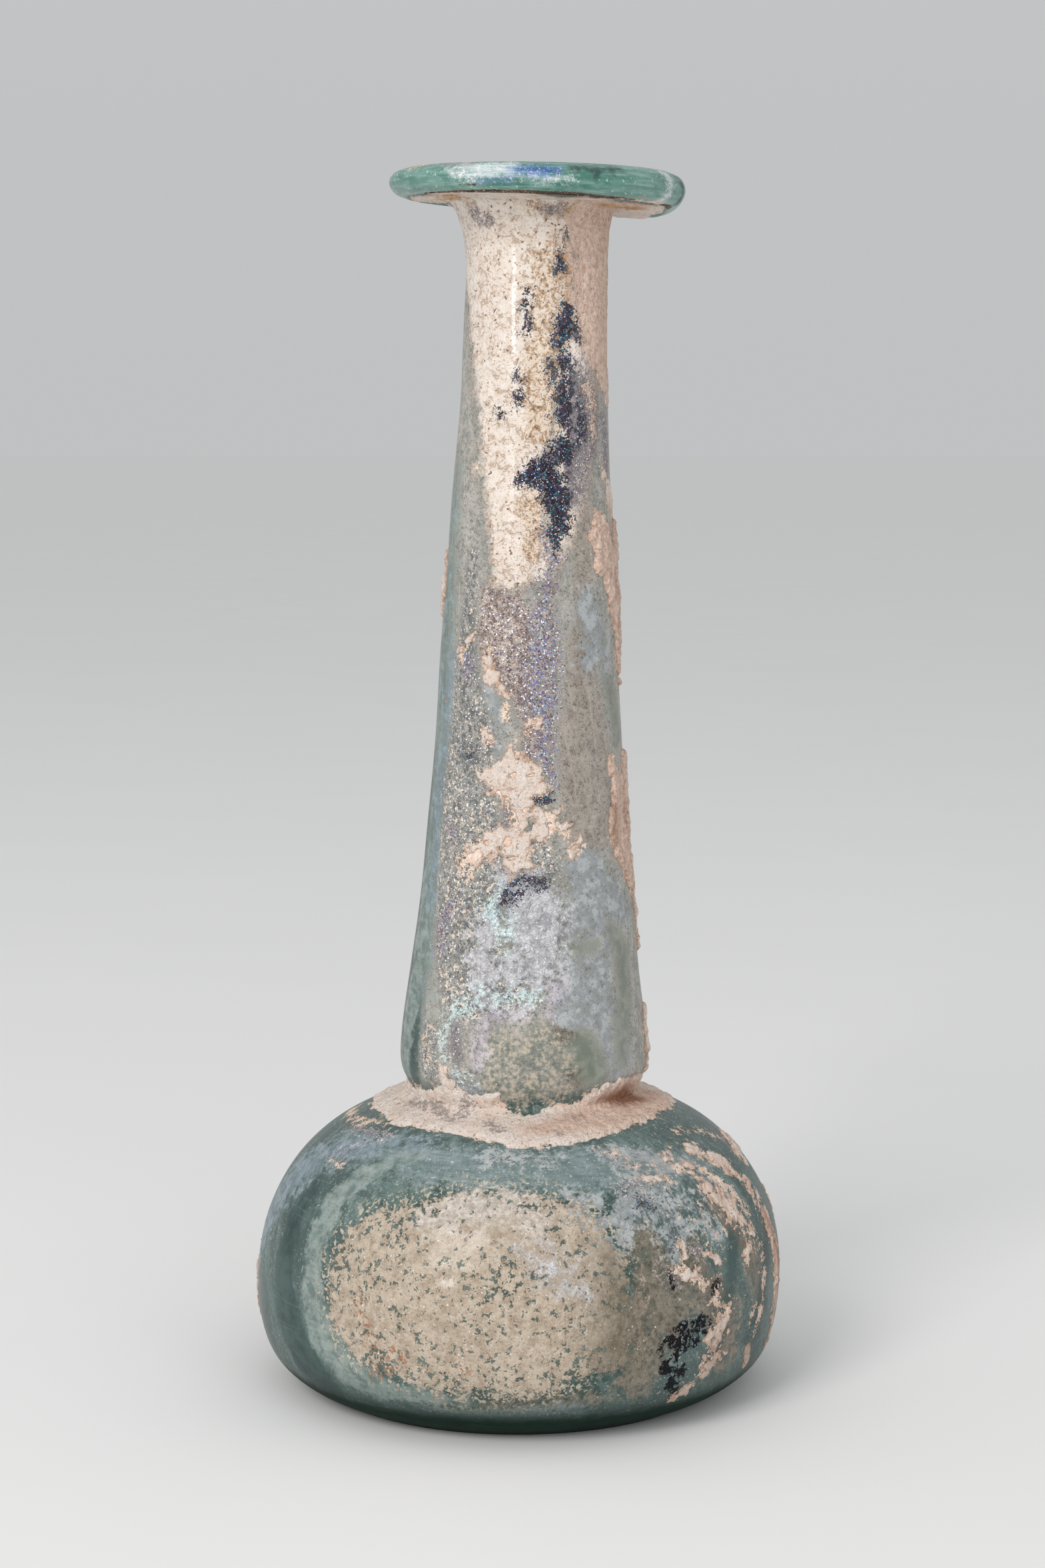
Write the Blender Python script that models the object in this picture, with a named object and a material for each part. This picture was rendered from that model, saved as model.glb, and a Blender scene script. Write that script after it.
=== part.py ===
"""Ancient blown-glass flask: squat body, long tapering neck pinched in at its foot, and folded disc rim.

One hollow piece of glass. Run it with blender --background --python part.py, or from Blender's text editor.
Metres, +Z up. The flask stands on its base ring at z = 0, with the widest part of its body centred on Z.
"""

import math

import bmesh
import bpy
from mathutils import Vector
from mathutils.geometry import interpolate_bezier

MM = 0.001

# Driving dimensions
HEIGHT = 150.0 * MM  # floor to the flat top of the rim
BODY_RADIUS = 32.9 * MM
BODY_EQUATOR = 13.0 * MM  # height of the widest part of the body
PINCH_RADIUS = 13.9 * MM  # where the neck is nipped in above the shoulder
PINCH_HEIGHT = 37.0 * MM
NECK_FOOT_RADIUS = 15.3 * MM  # the swelling just above the pinch
NECK_TOP_RADIUS = 8.55 * MM
RIM_RADIUS = 18.0 * MM
RIM_THICKNESS = 3.7 * MM
BASE_RING_INNER = 19.5 * MM
BASE_RING_OUTER = 24.5 * MM
BASE_KICK = 1.9 * MM  # how far the middle of the underside is pushed up
BORE_RADIUS = 6.8 * MM

# Wall thickness, from the base to the top of the neck
WALL_BASE = 2.4 * MM
WALL_BODY = 1.7 * MM
WALL_PINCH = 2.1 * MM
WALL_NECK = 1.75 * MM
BASE_WALL_BOTTOM = 0.5 * MM  # between these heights the base's wall thins to the body's
BASE_WALL_TOP = 9.0 * MM
PINCH_WALL_REACH = 5.0 * MM  # how far above and below the pinch its thicker glass reaches

# Hand-made unevenness
LEAN = math.radians(0.93)  # the neck leans towards +X
RIM_THICKER = 0.12  # share by which the rim is thicker on the +X side, and thinner on the other
FLARE_LEFT = 0.75 * MM  # the neck opens into the rim more on the -X side
FLARE_HEIGHT = 9.0 * MM  # how far below the rim that flare starts
SAG_DEPTH = 0.7 * MM  # the folded lip hangs a little at one place
SAG_ANGLE = math.radians(115.0)
SAG_SPREAD = math.radians(17.0)

# Facets
SEGMENTS = 56
CURVE_STEPS = 12
FLATNESS_OUTSIDE = 0.065 * MM  # how far a facet's edge may stray from the smooth outline
FLATNESS_INSIDE = 0.16 * MM

UNDERSIDE = HEIGHT - RIM_THICKNESS
RIM_JOIN_BOTTOM = UNDERSIDE - 2.5 * MM  # between these heights the neck's unevenness gives way to the rim's
RIM_JOIN_TOP = UNDERSIDE + 0.5 * MM
TOP_FACE = HEIGHT - 0.02 * MM  # points above this are on the flat top, which stays flat
MERGE = 0.005 * MM

# Stations are (radius, height) pairs. Each list is one smooth stretch of the outline.
BASE_HOLLOW = (
    (0.0, BASE_KICK),
    (0.55 * BASE_RING_INNER, 0.68 * BASE_KICK),
    (BASE_RING_INNER, 0.0),
)
BODY_AND_NECK = (
    (BASE_RING_OUTER, 0.0),
    (28.2 * MM, 1.9 * MM),
    (31.0 * MM, 4.6 * MM),
    (32.4 * MM, 8.3 * MM),
    (BODY_RADIUS, BODY_EQUATOR),
    (32.65 * MM, 17.5 * MM),
    (31.6 * MM, 21.8 * MM),
    (29.5 * MM, 26.1 * MM),
    (26.8 * MM, 29.6 * MM),
    (23.2 * MM, 32.6 * MM),
    (18.6 * MM, 35.0 * MM),
    (15.2 * MM, 36.1 * MM),
    (PINCH_RADIUS, PINCH_HEIGHT),
    (14.3 * MM, 38.2 * MM),
    (15.1 * MM, 40.0 * MM),
    (NECK_FOOT_RADIUS, 42.0 * MM),
    (15.05 * MM, 45.5 * MM),
    (14.2 * MM, 52.3 * MM),
    (12.9 * MM, 65.0 * MM),
    (11.45 * MM, 83.0 * MM),
    (10.25 * MM, 102.0 * MM),
    (9.1 * MM, 122.0 * MM),
    (8.75 * MM, 132.0 * MM),
    (NECK_TOP_RADIUS, 139.0 * MM),
    (8.6 * MM, UNDERSIDE - 3.4 * MM),
    (9.1 * MM, UNDERSIDE - 1.2 * MM),
)
RIM_UNDERSIDE = (
    (9.1 * MM, UNDERSIDE - 1.2 * MM),
    (9.9 * MM, UNDERSIDE - 0.3 * MM),
    (12.4 * MM, UNDERSIDE - 0.05 * MM),
    (15.1 * MM, UNDERSIDE + 0.05 * MM),
)
FOLD_SEAM = (15.55 * MM, UNDERSIDE + 0.6 * MM)  # the crease where the lip was folded under
RIM_EDGE = (
    (15.95 * MM, UNDERSIDE),
    (17.25 * MM, UNDERSIDE + 0.5 * MM),
    (RIM_RADIUS, HEIGHT - 0.5 * RIM_THICKNESS),
    (17.5 * MM, HEIGHT - 0.6 * MM),
    (16.2 * MM, HEIGHT),
)
MOUTH = (
    (9.9 * MM, HEIGHT),
    (8.6 * MM, HEIGHT - 0.5 * MM),
    (7.6 * MM, HEIGHT - 1.8 * MM),
    (7.0 * MM, HEIGHT - 4.2 * MM),
    (BORE_RADIUS, HEIGHT - 8.5 * MM),
)
BORE_TOP = HEIGHT - 11.0 * MM  # below this the inside follows the outside at the wall's thickness


def clear_scene():
    for obj in list(bpy.data.objects):
        bpy.data.objects.remove(obj)


def smooth_curve(stations):
    """Points along a rounded line through the stations, each joined to the next by a Bezier curve."""
    points = [Vector((radius, height)) for radius, height in stations]
    tangents = []
    for i, point in enumerate(points):
        before = points[max(i - 1, 0)]
        after = points[min(i + 1, len(points) - 1)]
        tangents.append((after - before).normalized())
    curve = [points[0]]
    for i in range(len(points) - 1):
        reach = (points[i + 1] - points[i]).length / 3
        handle = points[i] + tangents[i] * reach
        next_handle = points[i + 1] - tangents[i + 1] * reach
        curve += interpolate_bezier(points[i], handle, next_handle, points[i + 1], CURVE_STEPS)[1:]
    return [point.to_2d() for point in curve]


def thin_out(points, flatness):
    """The fewest of the points that keep the line within this distance of where it was."""
    start, end = points[0], points[-1]
    along = (end - start).normalized()
    strays = [abs((point - start).cross(along)) for point in points]
    furthest = max(range(len(points)), key=strays.__getitem__)
    if strays[furthest] < flatness:
        return [start, end]
    return thin_out(points[: furthest + 1], flatness)[:-1] + thin_out(points[furthest:], flatness)


def blend(low, high, value):
    """0 below low, 1 above high, and a smooth step between them."""
    share = min(max((value - low) / (high - low), 0.0), 1.0)
    return share * share * (3 - 2 * share)


def wall_at(point):
    """Thickness of the glass behind a point of the outside."""
    height = point.y
    on_base = 1 - blend(BASE_WALL_BOTTOM, BASE_WALL_TOP, height)
    wall = WALL_BODY + (WALL_BASE - WALL_BODY) * on_base
    near_pinch = 1 - blend(0.0, PINCH_WALL_REACH, abs(height - PINCH_HEIGHT))
    wall += (WALL_PINCH - WALL_BODY) * near_pinch
    return wall + (WALL_NECK - WALL_BODY) * blend(PINCH_HEIGHT, 1.5 * PINCH_HEIGHT, height)


def inside_of(outside):
    """The inner line: the outside moved in by the wall, from the bore's top down to the base's middle."""
    inside = []
    for point, after in zip(outside, outside[1:]):
        if point.y > BORE_TOP:
            break
        along = (after - point).normalized()
        inwards = Vector((-along.y, along.x))
        moved = point + inwards * wall_at(point)
        # Inside a tight corner the moved line would loop back over itself, so those points are left out.
        if not inside or (moved - inside[-1]).dot(along) > 0:
            inside.append(moved)
    inside[0].x = 0.0
    return inside[::-1]


def outline():
    """The cut through the glass on one side of the axis: underside, outside, rim, mouth and inside."""
    hollow = smooth_curve(BASE_HOLLOW)
    outside = smooth_curve(BODY_AND_NECK)
    inside = inside_of(hollow + outside)
    stretches = (
        hollow,
        outside,
        smooth_curve(RIM_UNDERSIDE),
        [Vector(FOLD_SEAM)],
        smooth_curve(RIM_EDGE),
        smooth_curve(MOUTH),
        inside,
    )
    points = []
    for stretch in stretches:
        flatness = FLATNESS_INSIDE if stretch is inside else FLATNESS_OUTSIDE
        thinned = thin_out(stretch, flatness) if len(stretch) > 2 else stretch
        points += [p for p in thinned if not points or (p - points[-1]).length > MERGE]
    return points


def settle(co):
    """Moves a point of the round flask to where the glassblower's hand left it."""
    radius = math.hypot(co.x, co.y)
    angle = math.atan2(co.x, -co.y)  # 0 faces -Y, and a quarter turn faces +X
    x, y, z = co
    rim = blend(RIM_JOIN_BOTTOM, RIM_JOIN_TOP, z)
    overhang = blend(NECK_TOP_RADIUS, 0.75 * RIM_RADIUS, radius)
    if z < TOP_FACE:
        drop = (HEIGHT - z) * RIM_THICKER * math.sin(angle)
        turn = math.remainder(angle - SAG_ANGLE, math.tau)
        sag = SAG_DEPTH * math.exp(-((turn / SAG_SPREAD) ** 2)) * blend(0.0, RIM_THICKNESS, HEIGHT - z)
        z -= (drop + sag) * rim * overhang
    is_outside = radius > BORE_RADIUS + 0.5 * WALL_NECK
    if is_outside:
        flare = FLARE_LEFT * blend(UNDERSIDE - FLARE_HEIGHT, UNDERSIDE, co.z) * (1 - overhang)
        x += flare * min(math.sin(angle), 0.0)
    lean = math.tan(LEAN)
    z -= x * lean * rim
    x += (co.z - BODY_EQUATOR) * lean
    return Vector((x, y, z))


def glass_material():
    material = bpy.data.materials.new("weathered_glass")
    material.use_nodes = True
    shader = material.node_tree.nodes["Principled BSDF"]
    shader.inputs["Base Color"].default_value = (0.30, 0.40, 0.36, 1.0)
    shader.inputs["Roughness"].default_value = 0.38
    shader.inputs["Metallic"].default_value = 0.0
    shader.inputs["IOR"].default_value = 1.5
    return material


def build_flask():
    """Spins the outline round the axis, then leans and warps it."""
    mesh = bmesh.new()
    profile = [mesh.verts.new((point.x, 0.0, point.y)) for point in outline()]
    edges = [mesh.edges.new(pair) for pair in zip(profile, profile[1:])]
    bmesh.ops.spin(
        mesh,
        geom=profile + edges,
        cent=(0.0, 0.0, 0.0),
        axis=(0.0, 0.0, 1.0),
        angle=math.tau,
        steps=SEGMENTS,
    )
    bmesh.ops.remove_doubles(mesh, verts=mesh.verts, dist=MERGE)
    bmesh.ops.recalc_face_normals(mesh, faces=mesh.faces)
    for vertex in mesh.verts:
        vertex.co = settle(vertex.co)
    data = bpy.data.meshes.new("flask")
    mesh.to_mesh(data)
    mesh.free()
    data.shade_smooth()
    data.set_sharp_from_angle(angle=math.radians(40))
    data.materials.append(glass_material())
    flask = bpy.data.objects.new("flask", data)
    bpy.context.scene.collection.objects.link(flask)
    return flask


def main():
    clear_scene()
    build_flask()


main()
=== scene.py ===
"""Looks of an ancient blown-glass flask: weathered glass, crusts of soil, loose grains and glittering flakes.

Metres, +Z up. The camera looks along +Y. An azimuth is in degrees round the flask: 0 faces the camera and
90 faces +X. A height is in millimetres above the floor. Above NECK_END it goes on along the glass instead,
a millimetre of skin for each millimetre: under the rim, round its edge, over its top and into the mouth.
"""

import math

import bpy
import numpy as np
from bpy.props import FloatProperty, FloatVectorProperty, IntProperty, PointerProperty
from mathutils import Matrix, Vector, noise
from mathutils.geometry import interpolate_bezier


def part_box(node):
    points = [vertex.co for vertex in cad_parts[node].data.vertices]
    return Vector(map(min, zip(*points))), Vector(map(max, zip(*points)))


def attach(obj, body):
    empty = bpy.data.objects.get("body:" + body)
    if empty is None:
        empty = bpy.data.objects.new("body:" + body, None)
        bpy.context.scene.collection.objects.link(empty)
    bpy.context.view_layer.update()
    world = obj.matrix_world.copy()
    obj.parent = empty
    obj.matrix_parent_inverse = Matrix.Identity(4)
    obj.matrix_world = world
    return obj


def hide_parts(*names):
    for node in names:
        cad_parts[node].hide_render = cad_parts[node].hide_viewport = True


bl_info = {
    "name": "Ancient glass flask",
    "version": (1, 0, 0),
    "blender": (4, 5, 0),
    "location": "3D View > Sidebar > Flask",
    "description": "Builds the weathered glass of an ancient flask, with its soil, grains and flakes",
    "category": "Add Mesh",
}

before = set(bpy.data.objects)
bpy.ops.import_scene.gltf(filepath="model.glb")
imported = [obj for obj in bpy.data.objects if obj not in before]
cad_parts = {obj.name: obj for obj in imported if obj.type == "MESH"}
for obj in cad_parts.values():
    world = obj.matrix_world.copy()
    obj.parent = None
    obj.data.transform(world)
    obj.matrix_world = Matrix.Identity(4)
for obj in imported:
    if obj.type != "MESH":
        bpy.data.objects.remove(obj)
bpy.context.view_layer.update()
LOWEST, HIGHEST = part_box("flask")
BODY_RADIUS = 32.9
MM = (HIGHEST.y - LOWEST.y) / (2 * BODY_RADIUS)  # what follows is in millimetres, for a body of that radius

# Stage
FLOOR_TONE = (0.86, 0.86, 0.855)
FLOOR_REACH = 12.0
ROOM_HORIZON = (0.53, 0.535, 0.54)
ROOM_OVERHEAD = tuple(1.18 * channel for channel in ROOM_HORIZON)
LIGHTS = (  # name, azimuth, elevation, distance, side, power and colour
    ("key", -30.0, 32.0, 1.1, 0.45, 5.5, (1.0, 0.985, 0.96)),
    ("fill", 20.0, 18.0, 1.3, 0.8, 3.0, (0.97, 0.985, 1.0)),
    ("glint", -32.0, 10.8, 1.0, 0.1, 0.6, (1.0, 1.0, 1.0)),
)
LIGHTS_AIM = Vector((0.0, 0.0, 0.06))
CAMERA_PLACE = (0.0004, -0.3901, 0.1195)
CAMERA_DIP = 6.47  # how far the camera looks down, in degrees
CAMERA_LENS = 72.58
CAMERA_SENSOR = 36.0

# Outline of the glass, as (radius, height). Each list is one smooth stretch.
HEIGHT = 150.0
EQUATOR = 13.0
NECK_END = 145.0
RIM_THICKNESS = 3.7
UNDERSIDE = HEIGHT - RIM_THICKNESS
RIM_RADIUS = 18.0
NECK_TOP_RADIUS = 8.55
BORE_RADIUS = 6.8
BASE_HOLLOW = ((0.0, 1.9), (10.7, 1.3), (19.5, 0.0))
BODY_AND_NECK = (
    (24.5, 0.0), (28.2, 1.9), (31.0, 4.6), (32.4, 8.3), (BODY_RADIUS, EQUATOR), (32.65, 17.5), (31.6, 21.8),
    (29.5, 26.1), (26.8, 29.6), (23.2, 32.6), (18.6, 35.0), (15.2, 36.1), (13.9, 37.0), (14.3, 38.2),
    (15.1, 40.0), (15.3, 42.0), (15.05, 45.5), (14.2, 52.3), (12.9, 65.0), (11.45, 83.0), (10.25, 102.0),
    (9.1, 122.0), (8.75, 132.0), (NECK_TOP_RADIUS, 139.0), (8.6, UNDERSIDE - 3.4), (9.1, UNDERSIDE - 1.2),
)
RIM_UNDERSIDE = (
    (9.1, UNDERSIDE - 1.2),
    (9.9, UNDERSIDE - 0.3),
    (12.4, UNDERSIDE - 0.05),
    (15.1, UNDERSIDE + 0.05),
)
FOLD_SEAM = ((15.1, UNDERSIDE + 0.05), (15.55, UNDERSIDE + 0.6), (15.95, UNDERSIDE))
RIM_EDGE = (
    (15.95, UNDERSIDE),
    (17.25, UNDERSIDE + 0.5),
    (RIM_RADIUS, HEIGHT - 0.5 * RIM_THICKNESS),
    (17.5, HEIGHT - 0.6),
    (16.2, HEIGHT),
)
MOUTH = (
    (16.2, HEIGHT),
    (9.9, HEIGHT),
    (8.6, HEIGHT - 0.5),
    (7.6, HEIGHT - 1.8),
    (7.0, HEIGHT - 4.2),
    (BORE_RADIUS, HEIGHT - 8.5),
)
BORE_TOP = HEIGHT - 11.0  # below this the inside follows the outside at the wall's thickness
WALL_BASE = 2.4
WALL_BODY = 1.7
WALL_PINCH = 2.1
WALL_NECK = 1.75
BASE_WALL_HEIGHTS = (0.5, 9.0)  # between these heights the base's wall thins to the body's
PINCH_HEIGHT = 37.0
PINCH_WALL_REACH = 5.0  # how far above and below the pinch its thicker glass reaches
CURVE_STEPS = 24
INSIDE_SPACING = 1.7

# Hand-made unevenness
# Ripples, each with its share, waves round the flask, turn in a millimetre of height, and start
RIPPLES = ((1.0, 2, 0.11, 0.0), (0.6, 3, -0.07, 1.0), (0.5, 1, 0.31, 0.0))
RIPPLES_START = (1.0, 8.0)  # between these heights the ripples set in
RIPPLES_END = (148.0, 140.0)  # and from the second of these up to the first they die away
RIPPLES_CORE = 4.0  # nearer the axis than this they don't grow
RIM_JOIN = (UNDERSIDE - 2.5, UNDERSIDE + 0.5)  # where the neck's unevenness gives way to the rim's
SAG_DEPTH = 0.7  # the folded lip hangs a little at one place
SAG_ANGLE = math.radians(115.0)
SAG_SPREAD = math.radians(17.0)
FLARE_LEFT = 0.75  # the neck opens into the rim more on the -X side
FLARE_HEIGHT = 9.0

# Soil that stands proud of the glass. A stroke is a run of (azimuth, height, half width in millimetres).
SOIL = {
    "collar_soil": (
        (
            (-180, 35.8, 3.6), (-130, 35.9, 3.2), (-95, 36, 3.4), (-72, 35.9, 3.1), (-55, 36, 3.4),
            (-38, 36.2, 3.9), (-22, 36, 3.6), (-10, 35.6, 3.5), (0, 35.2, 3.1), (12, 35.5, 3.4),
            (25, 35.7, 3.6), (40, 36.2, 3.9), (60, 36.4, 4), (80, 36.2, 3.7), (110, 35.9, 3.6),
            (150, 35.7, 3.2), (180, 35.8, 3.6),
        ),
        ((-40, 41.6, 0.7), (-38, 40.3, 0.9), (-35, 39.2, 0.9)), ((-14, 38.3, 0.6), (-20, 38.2, 0.5)),
    ),
    "neck_soil": (
        ((-40, 94.6, 0.35), (-45, 93.2, 0.85), (-51, 92, 0.45)),
        ((-30, 91.6, 0.35), (-27, 90.3, 0.35), (-20, 88.6, 0.6), (-14, 86.8, 0.6), (-12, 84.6, 0.6)),
        ((1, 84.2, 0.3), (5, 83.6, 0.5), (9, 83, 0.3)), ((-3, 82.8, 0.35), (0, 82.8, 0.35)),
        ((-29, 83.2, 0.2), (-24, 82, 0.45)), ((-10, 80, 0.9), (-8, 78.8, 1.5), (2, 77.3, 1.5)),
        ((-24, 77.3, 0.7), (-14, 77.4, 1.6), (0, 76.8, 2), (8, 76, 0.9)),
        ((-18, 76, 1), (-6, 75.2, 1.8), (-4, 72.4, 1.3), (-5, 70, 1.7), (-5, 67.6, 1.5), (-7, 65.7, 0.5)),
        ((8, 73.2, 0.8), (12, 72.2, 1.5), (19, 71.2, 0.9)), ((0, 70.6, 1.2), (10, 71, 1)),
        ((-15, 70.4, 0.8), (-24, 68.6, 1.2), (-33, 67.8, 1.2), (-38, 66.8, 0.9), (-33, 65.6, 0.5)),
        ((24, 67.9, 0.3), (29, 68.8, 0.7), (32, 69.2, 0.3)), ((-52, 44.8, 0.25), (-51, 43.4, 0.25)),
    ),
    "side_soil": (
        (
            (52, 108.6, 0.5), (56, 106.6, 2), (64, 103.6, 2.7), (70, 100, 1.6), (76, 96.6, 1.2),
            (82, 92, 0.9), (86, 88, 0.6),
        ),
        ((92, 106, 2.2), (100, 99, 2.6), (104, 91, 1.6)),
        (
            (58, 79, 0.35), (62, 77.4, 0.8), (70, 75.8, 1.9), (66, 72.6, 1.9), (64, 69.6, 2.1),
            (72, 67.2, 1.8), (80, 64, 1.2), (86, 60.4, 0.7),
        ),
        ((88, 78, 1.8), (94, 72, 2.6), (98, 65, 2), (92, 58, 0.8), (90, 55, 0.5)),
        ((84, 48, 0.4), (80, 45, 0.9), (82, 42.6, 1.2), (86, 40, 1)),
        ((-88, 104, 0.5), (-90, 99, 0.8), (-93, 95, 0.4)),
        ((150, 120, 2.4), (165, 112, 3), (175, 101, 2.2)),
        ((-150, 84, 2), (-142, 76, 2.6), (-150, 68, 1.6)), ((150, 62, 1.6), (142, 56, 2.2), (150, 50, 1.4)),
    ),
    "neck_crust": (
        ((58, 146.4, 4.6), (60, 141, 5.2), (64, 135.5, 4.9), (70, 130, 4), (76, 126, 2.6), (80, 123, 1.4)),
        ((100, 146, 4), (108, 138, 5), (112, 130, 4), (108, 124, 2.4)),
        ((64, 113.6, 0.6), (72, 112, 1), (80, 110, 1.3)),
    ),
    "body_soil": (
        ((46, 31.8, 0.6), (48, 30.9, 1.1), (51, 30.2, 0.7)), ((35, 30.5, 0.25), (42, 29.9, 0.3)),
        ((59, 31.8, 1.1), (65, 30.3, 1.7), (70, 28.4, 1.3)),
        ((52, 28.6, 0.6), (55, 27.4, 1.3), (58, 25.2, 1.5), (60, 23.6, 1.2), (63, 21.6, 0.9)),
        ((60, 20.8, 0.6), (58, 19.4, 0.8)), ((37, 24, 0.35), (38, 22.2, 0.55)),
        ((44, 21.4, 0.3), (48, 20.4, 0.4)), ((34, 20.6, 0.4), (39, 19.8, 0.8), (43, 18.4, 0.7)),
        ((47, 17.2, 0.3), (45, 15.6, 0.5)), ((50, 14.8, 0.7), (47, 13, 1.4), (45, 11.4, 1.1)),
        ((46, 9, 0.9), (43, 7.6, 1.1)), ((40, 5.8, 0.4), (36, 4.9, 0.35)), ((60, 13, 0.4), (59, 11.6, 0.3)),
        ((59, 8, 0.5), (60, 6.6, 0.4)),
        ((73, 26.6, 1.2), (76, 22.6, 1.5), (77, 18.4, 1.7), (77, 14, 1.7), (76, 10, 1.5), (74, 6.6, 0.9)),
        ((84, 29, 1.2), (94, 30, 1.7), (104, 28, 1)), ((92, 24, 0.8), (90, 20.6, 0.5)),
        ((100, 14.6, 1.2), (110, 12, 2.6), (120, 14, 1.6)), ((94, 8.6, 0.6), (100, 7.2, 0.8)),
        ((-92, 17, 0.5), (-88, 12, 0.6), (-90, 8, 0.5)), ((160, 20, 3), (172, 15, 3.4), (168, 9, 2)),
        ((-140, 24, 2.2), (-132, 19, 1.6)),
    ),
    "rim_soil": (
        ((-50, 147.8, 1), (-62, 148.8, 1.6), (-75, 150.4, 1.5), (-95, 151.4, 1.2)),
        ((52, 148.6, 1.6), (60, 148.6, 2.4), (80, 149.6, 2.6), (105, 149, 2.4), (140, 149.5, 2.2)),
        ((-170, 149, 2.4), (-130, 148.6, 2)),
    ),
}
SOIL_LIFT = {  # how thick the soil is
    "collar_soil": 0.40,
    "neck_soil": 0.24,
    "side_soil": 0.50,
    "neck_crust": 0.22,
    "body_soil": 0.22,
    "rim_soil": 0.40,
}
THINNEST_SOIL = 0.02
SOIL_SUNK = 0.08  # how far the soil's underside lies in the glass
SOIL_CELL = 0.24  # side of a cell of the soil's mesh
SOIL_MARGIN = 2.0  # how far past its strokes a soil's mesh is looked for
SOIL_EDGE_REACH = 2.6  # how far lumps can push an edge out past its strokes
SOIL_FOOT = 0.5  # no soil lies lower than this
PITTED = {"neck_soil": 0.34, "body_soil": 0.14}  # these soils have holes through them, more where this is low
RAGGED = {"neck_crust": 1.8}  # how far lumps push an edge about, where it isn't 0.9
FEATHERED = {"neck_crust": 1.4}  # how far from its edge a crust gets thick, where it isn't 0.25
THIN_EDGED = ("neck_soil", "side_soil", "body_soil")  # these are darker where they thin out
SOIL_TINTS = ("pink", "stain", "rust", "ochre")  # skins whose fields also tint the soil
TUBE_RADIUS = 18.0  # streaks are laid out on a tube this wide, and turn by TWIST radians a millimetre
TWIST = 0.012
BRUSH_RADIUS = 2.0  # on a tube this narrow, streaks run round the flask instead
SLOPE_STEP = 0.2  # how far to each side the glass's slope is measured
NOISE_SHIFT = 40.0  # a noise read this far off looks unlike the one read in place
MERGE = 0.004  # points of the turned glass that are closer than this become one
ROUNDING = 1e-4  # keeps a whole number from being rounded down to the one before
TINY = 1e-6

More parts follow.
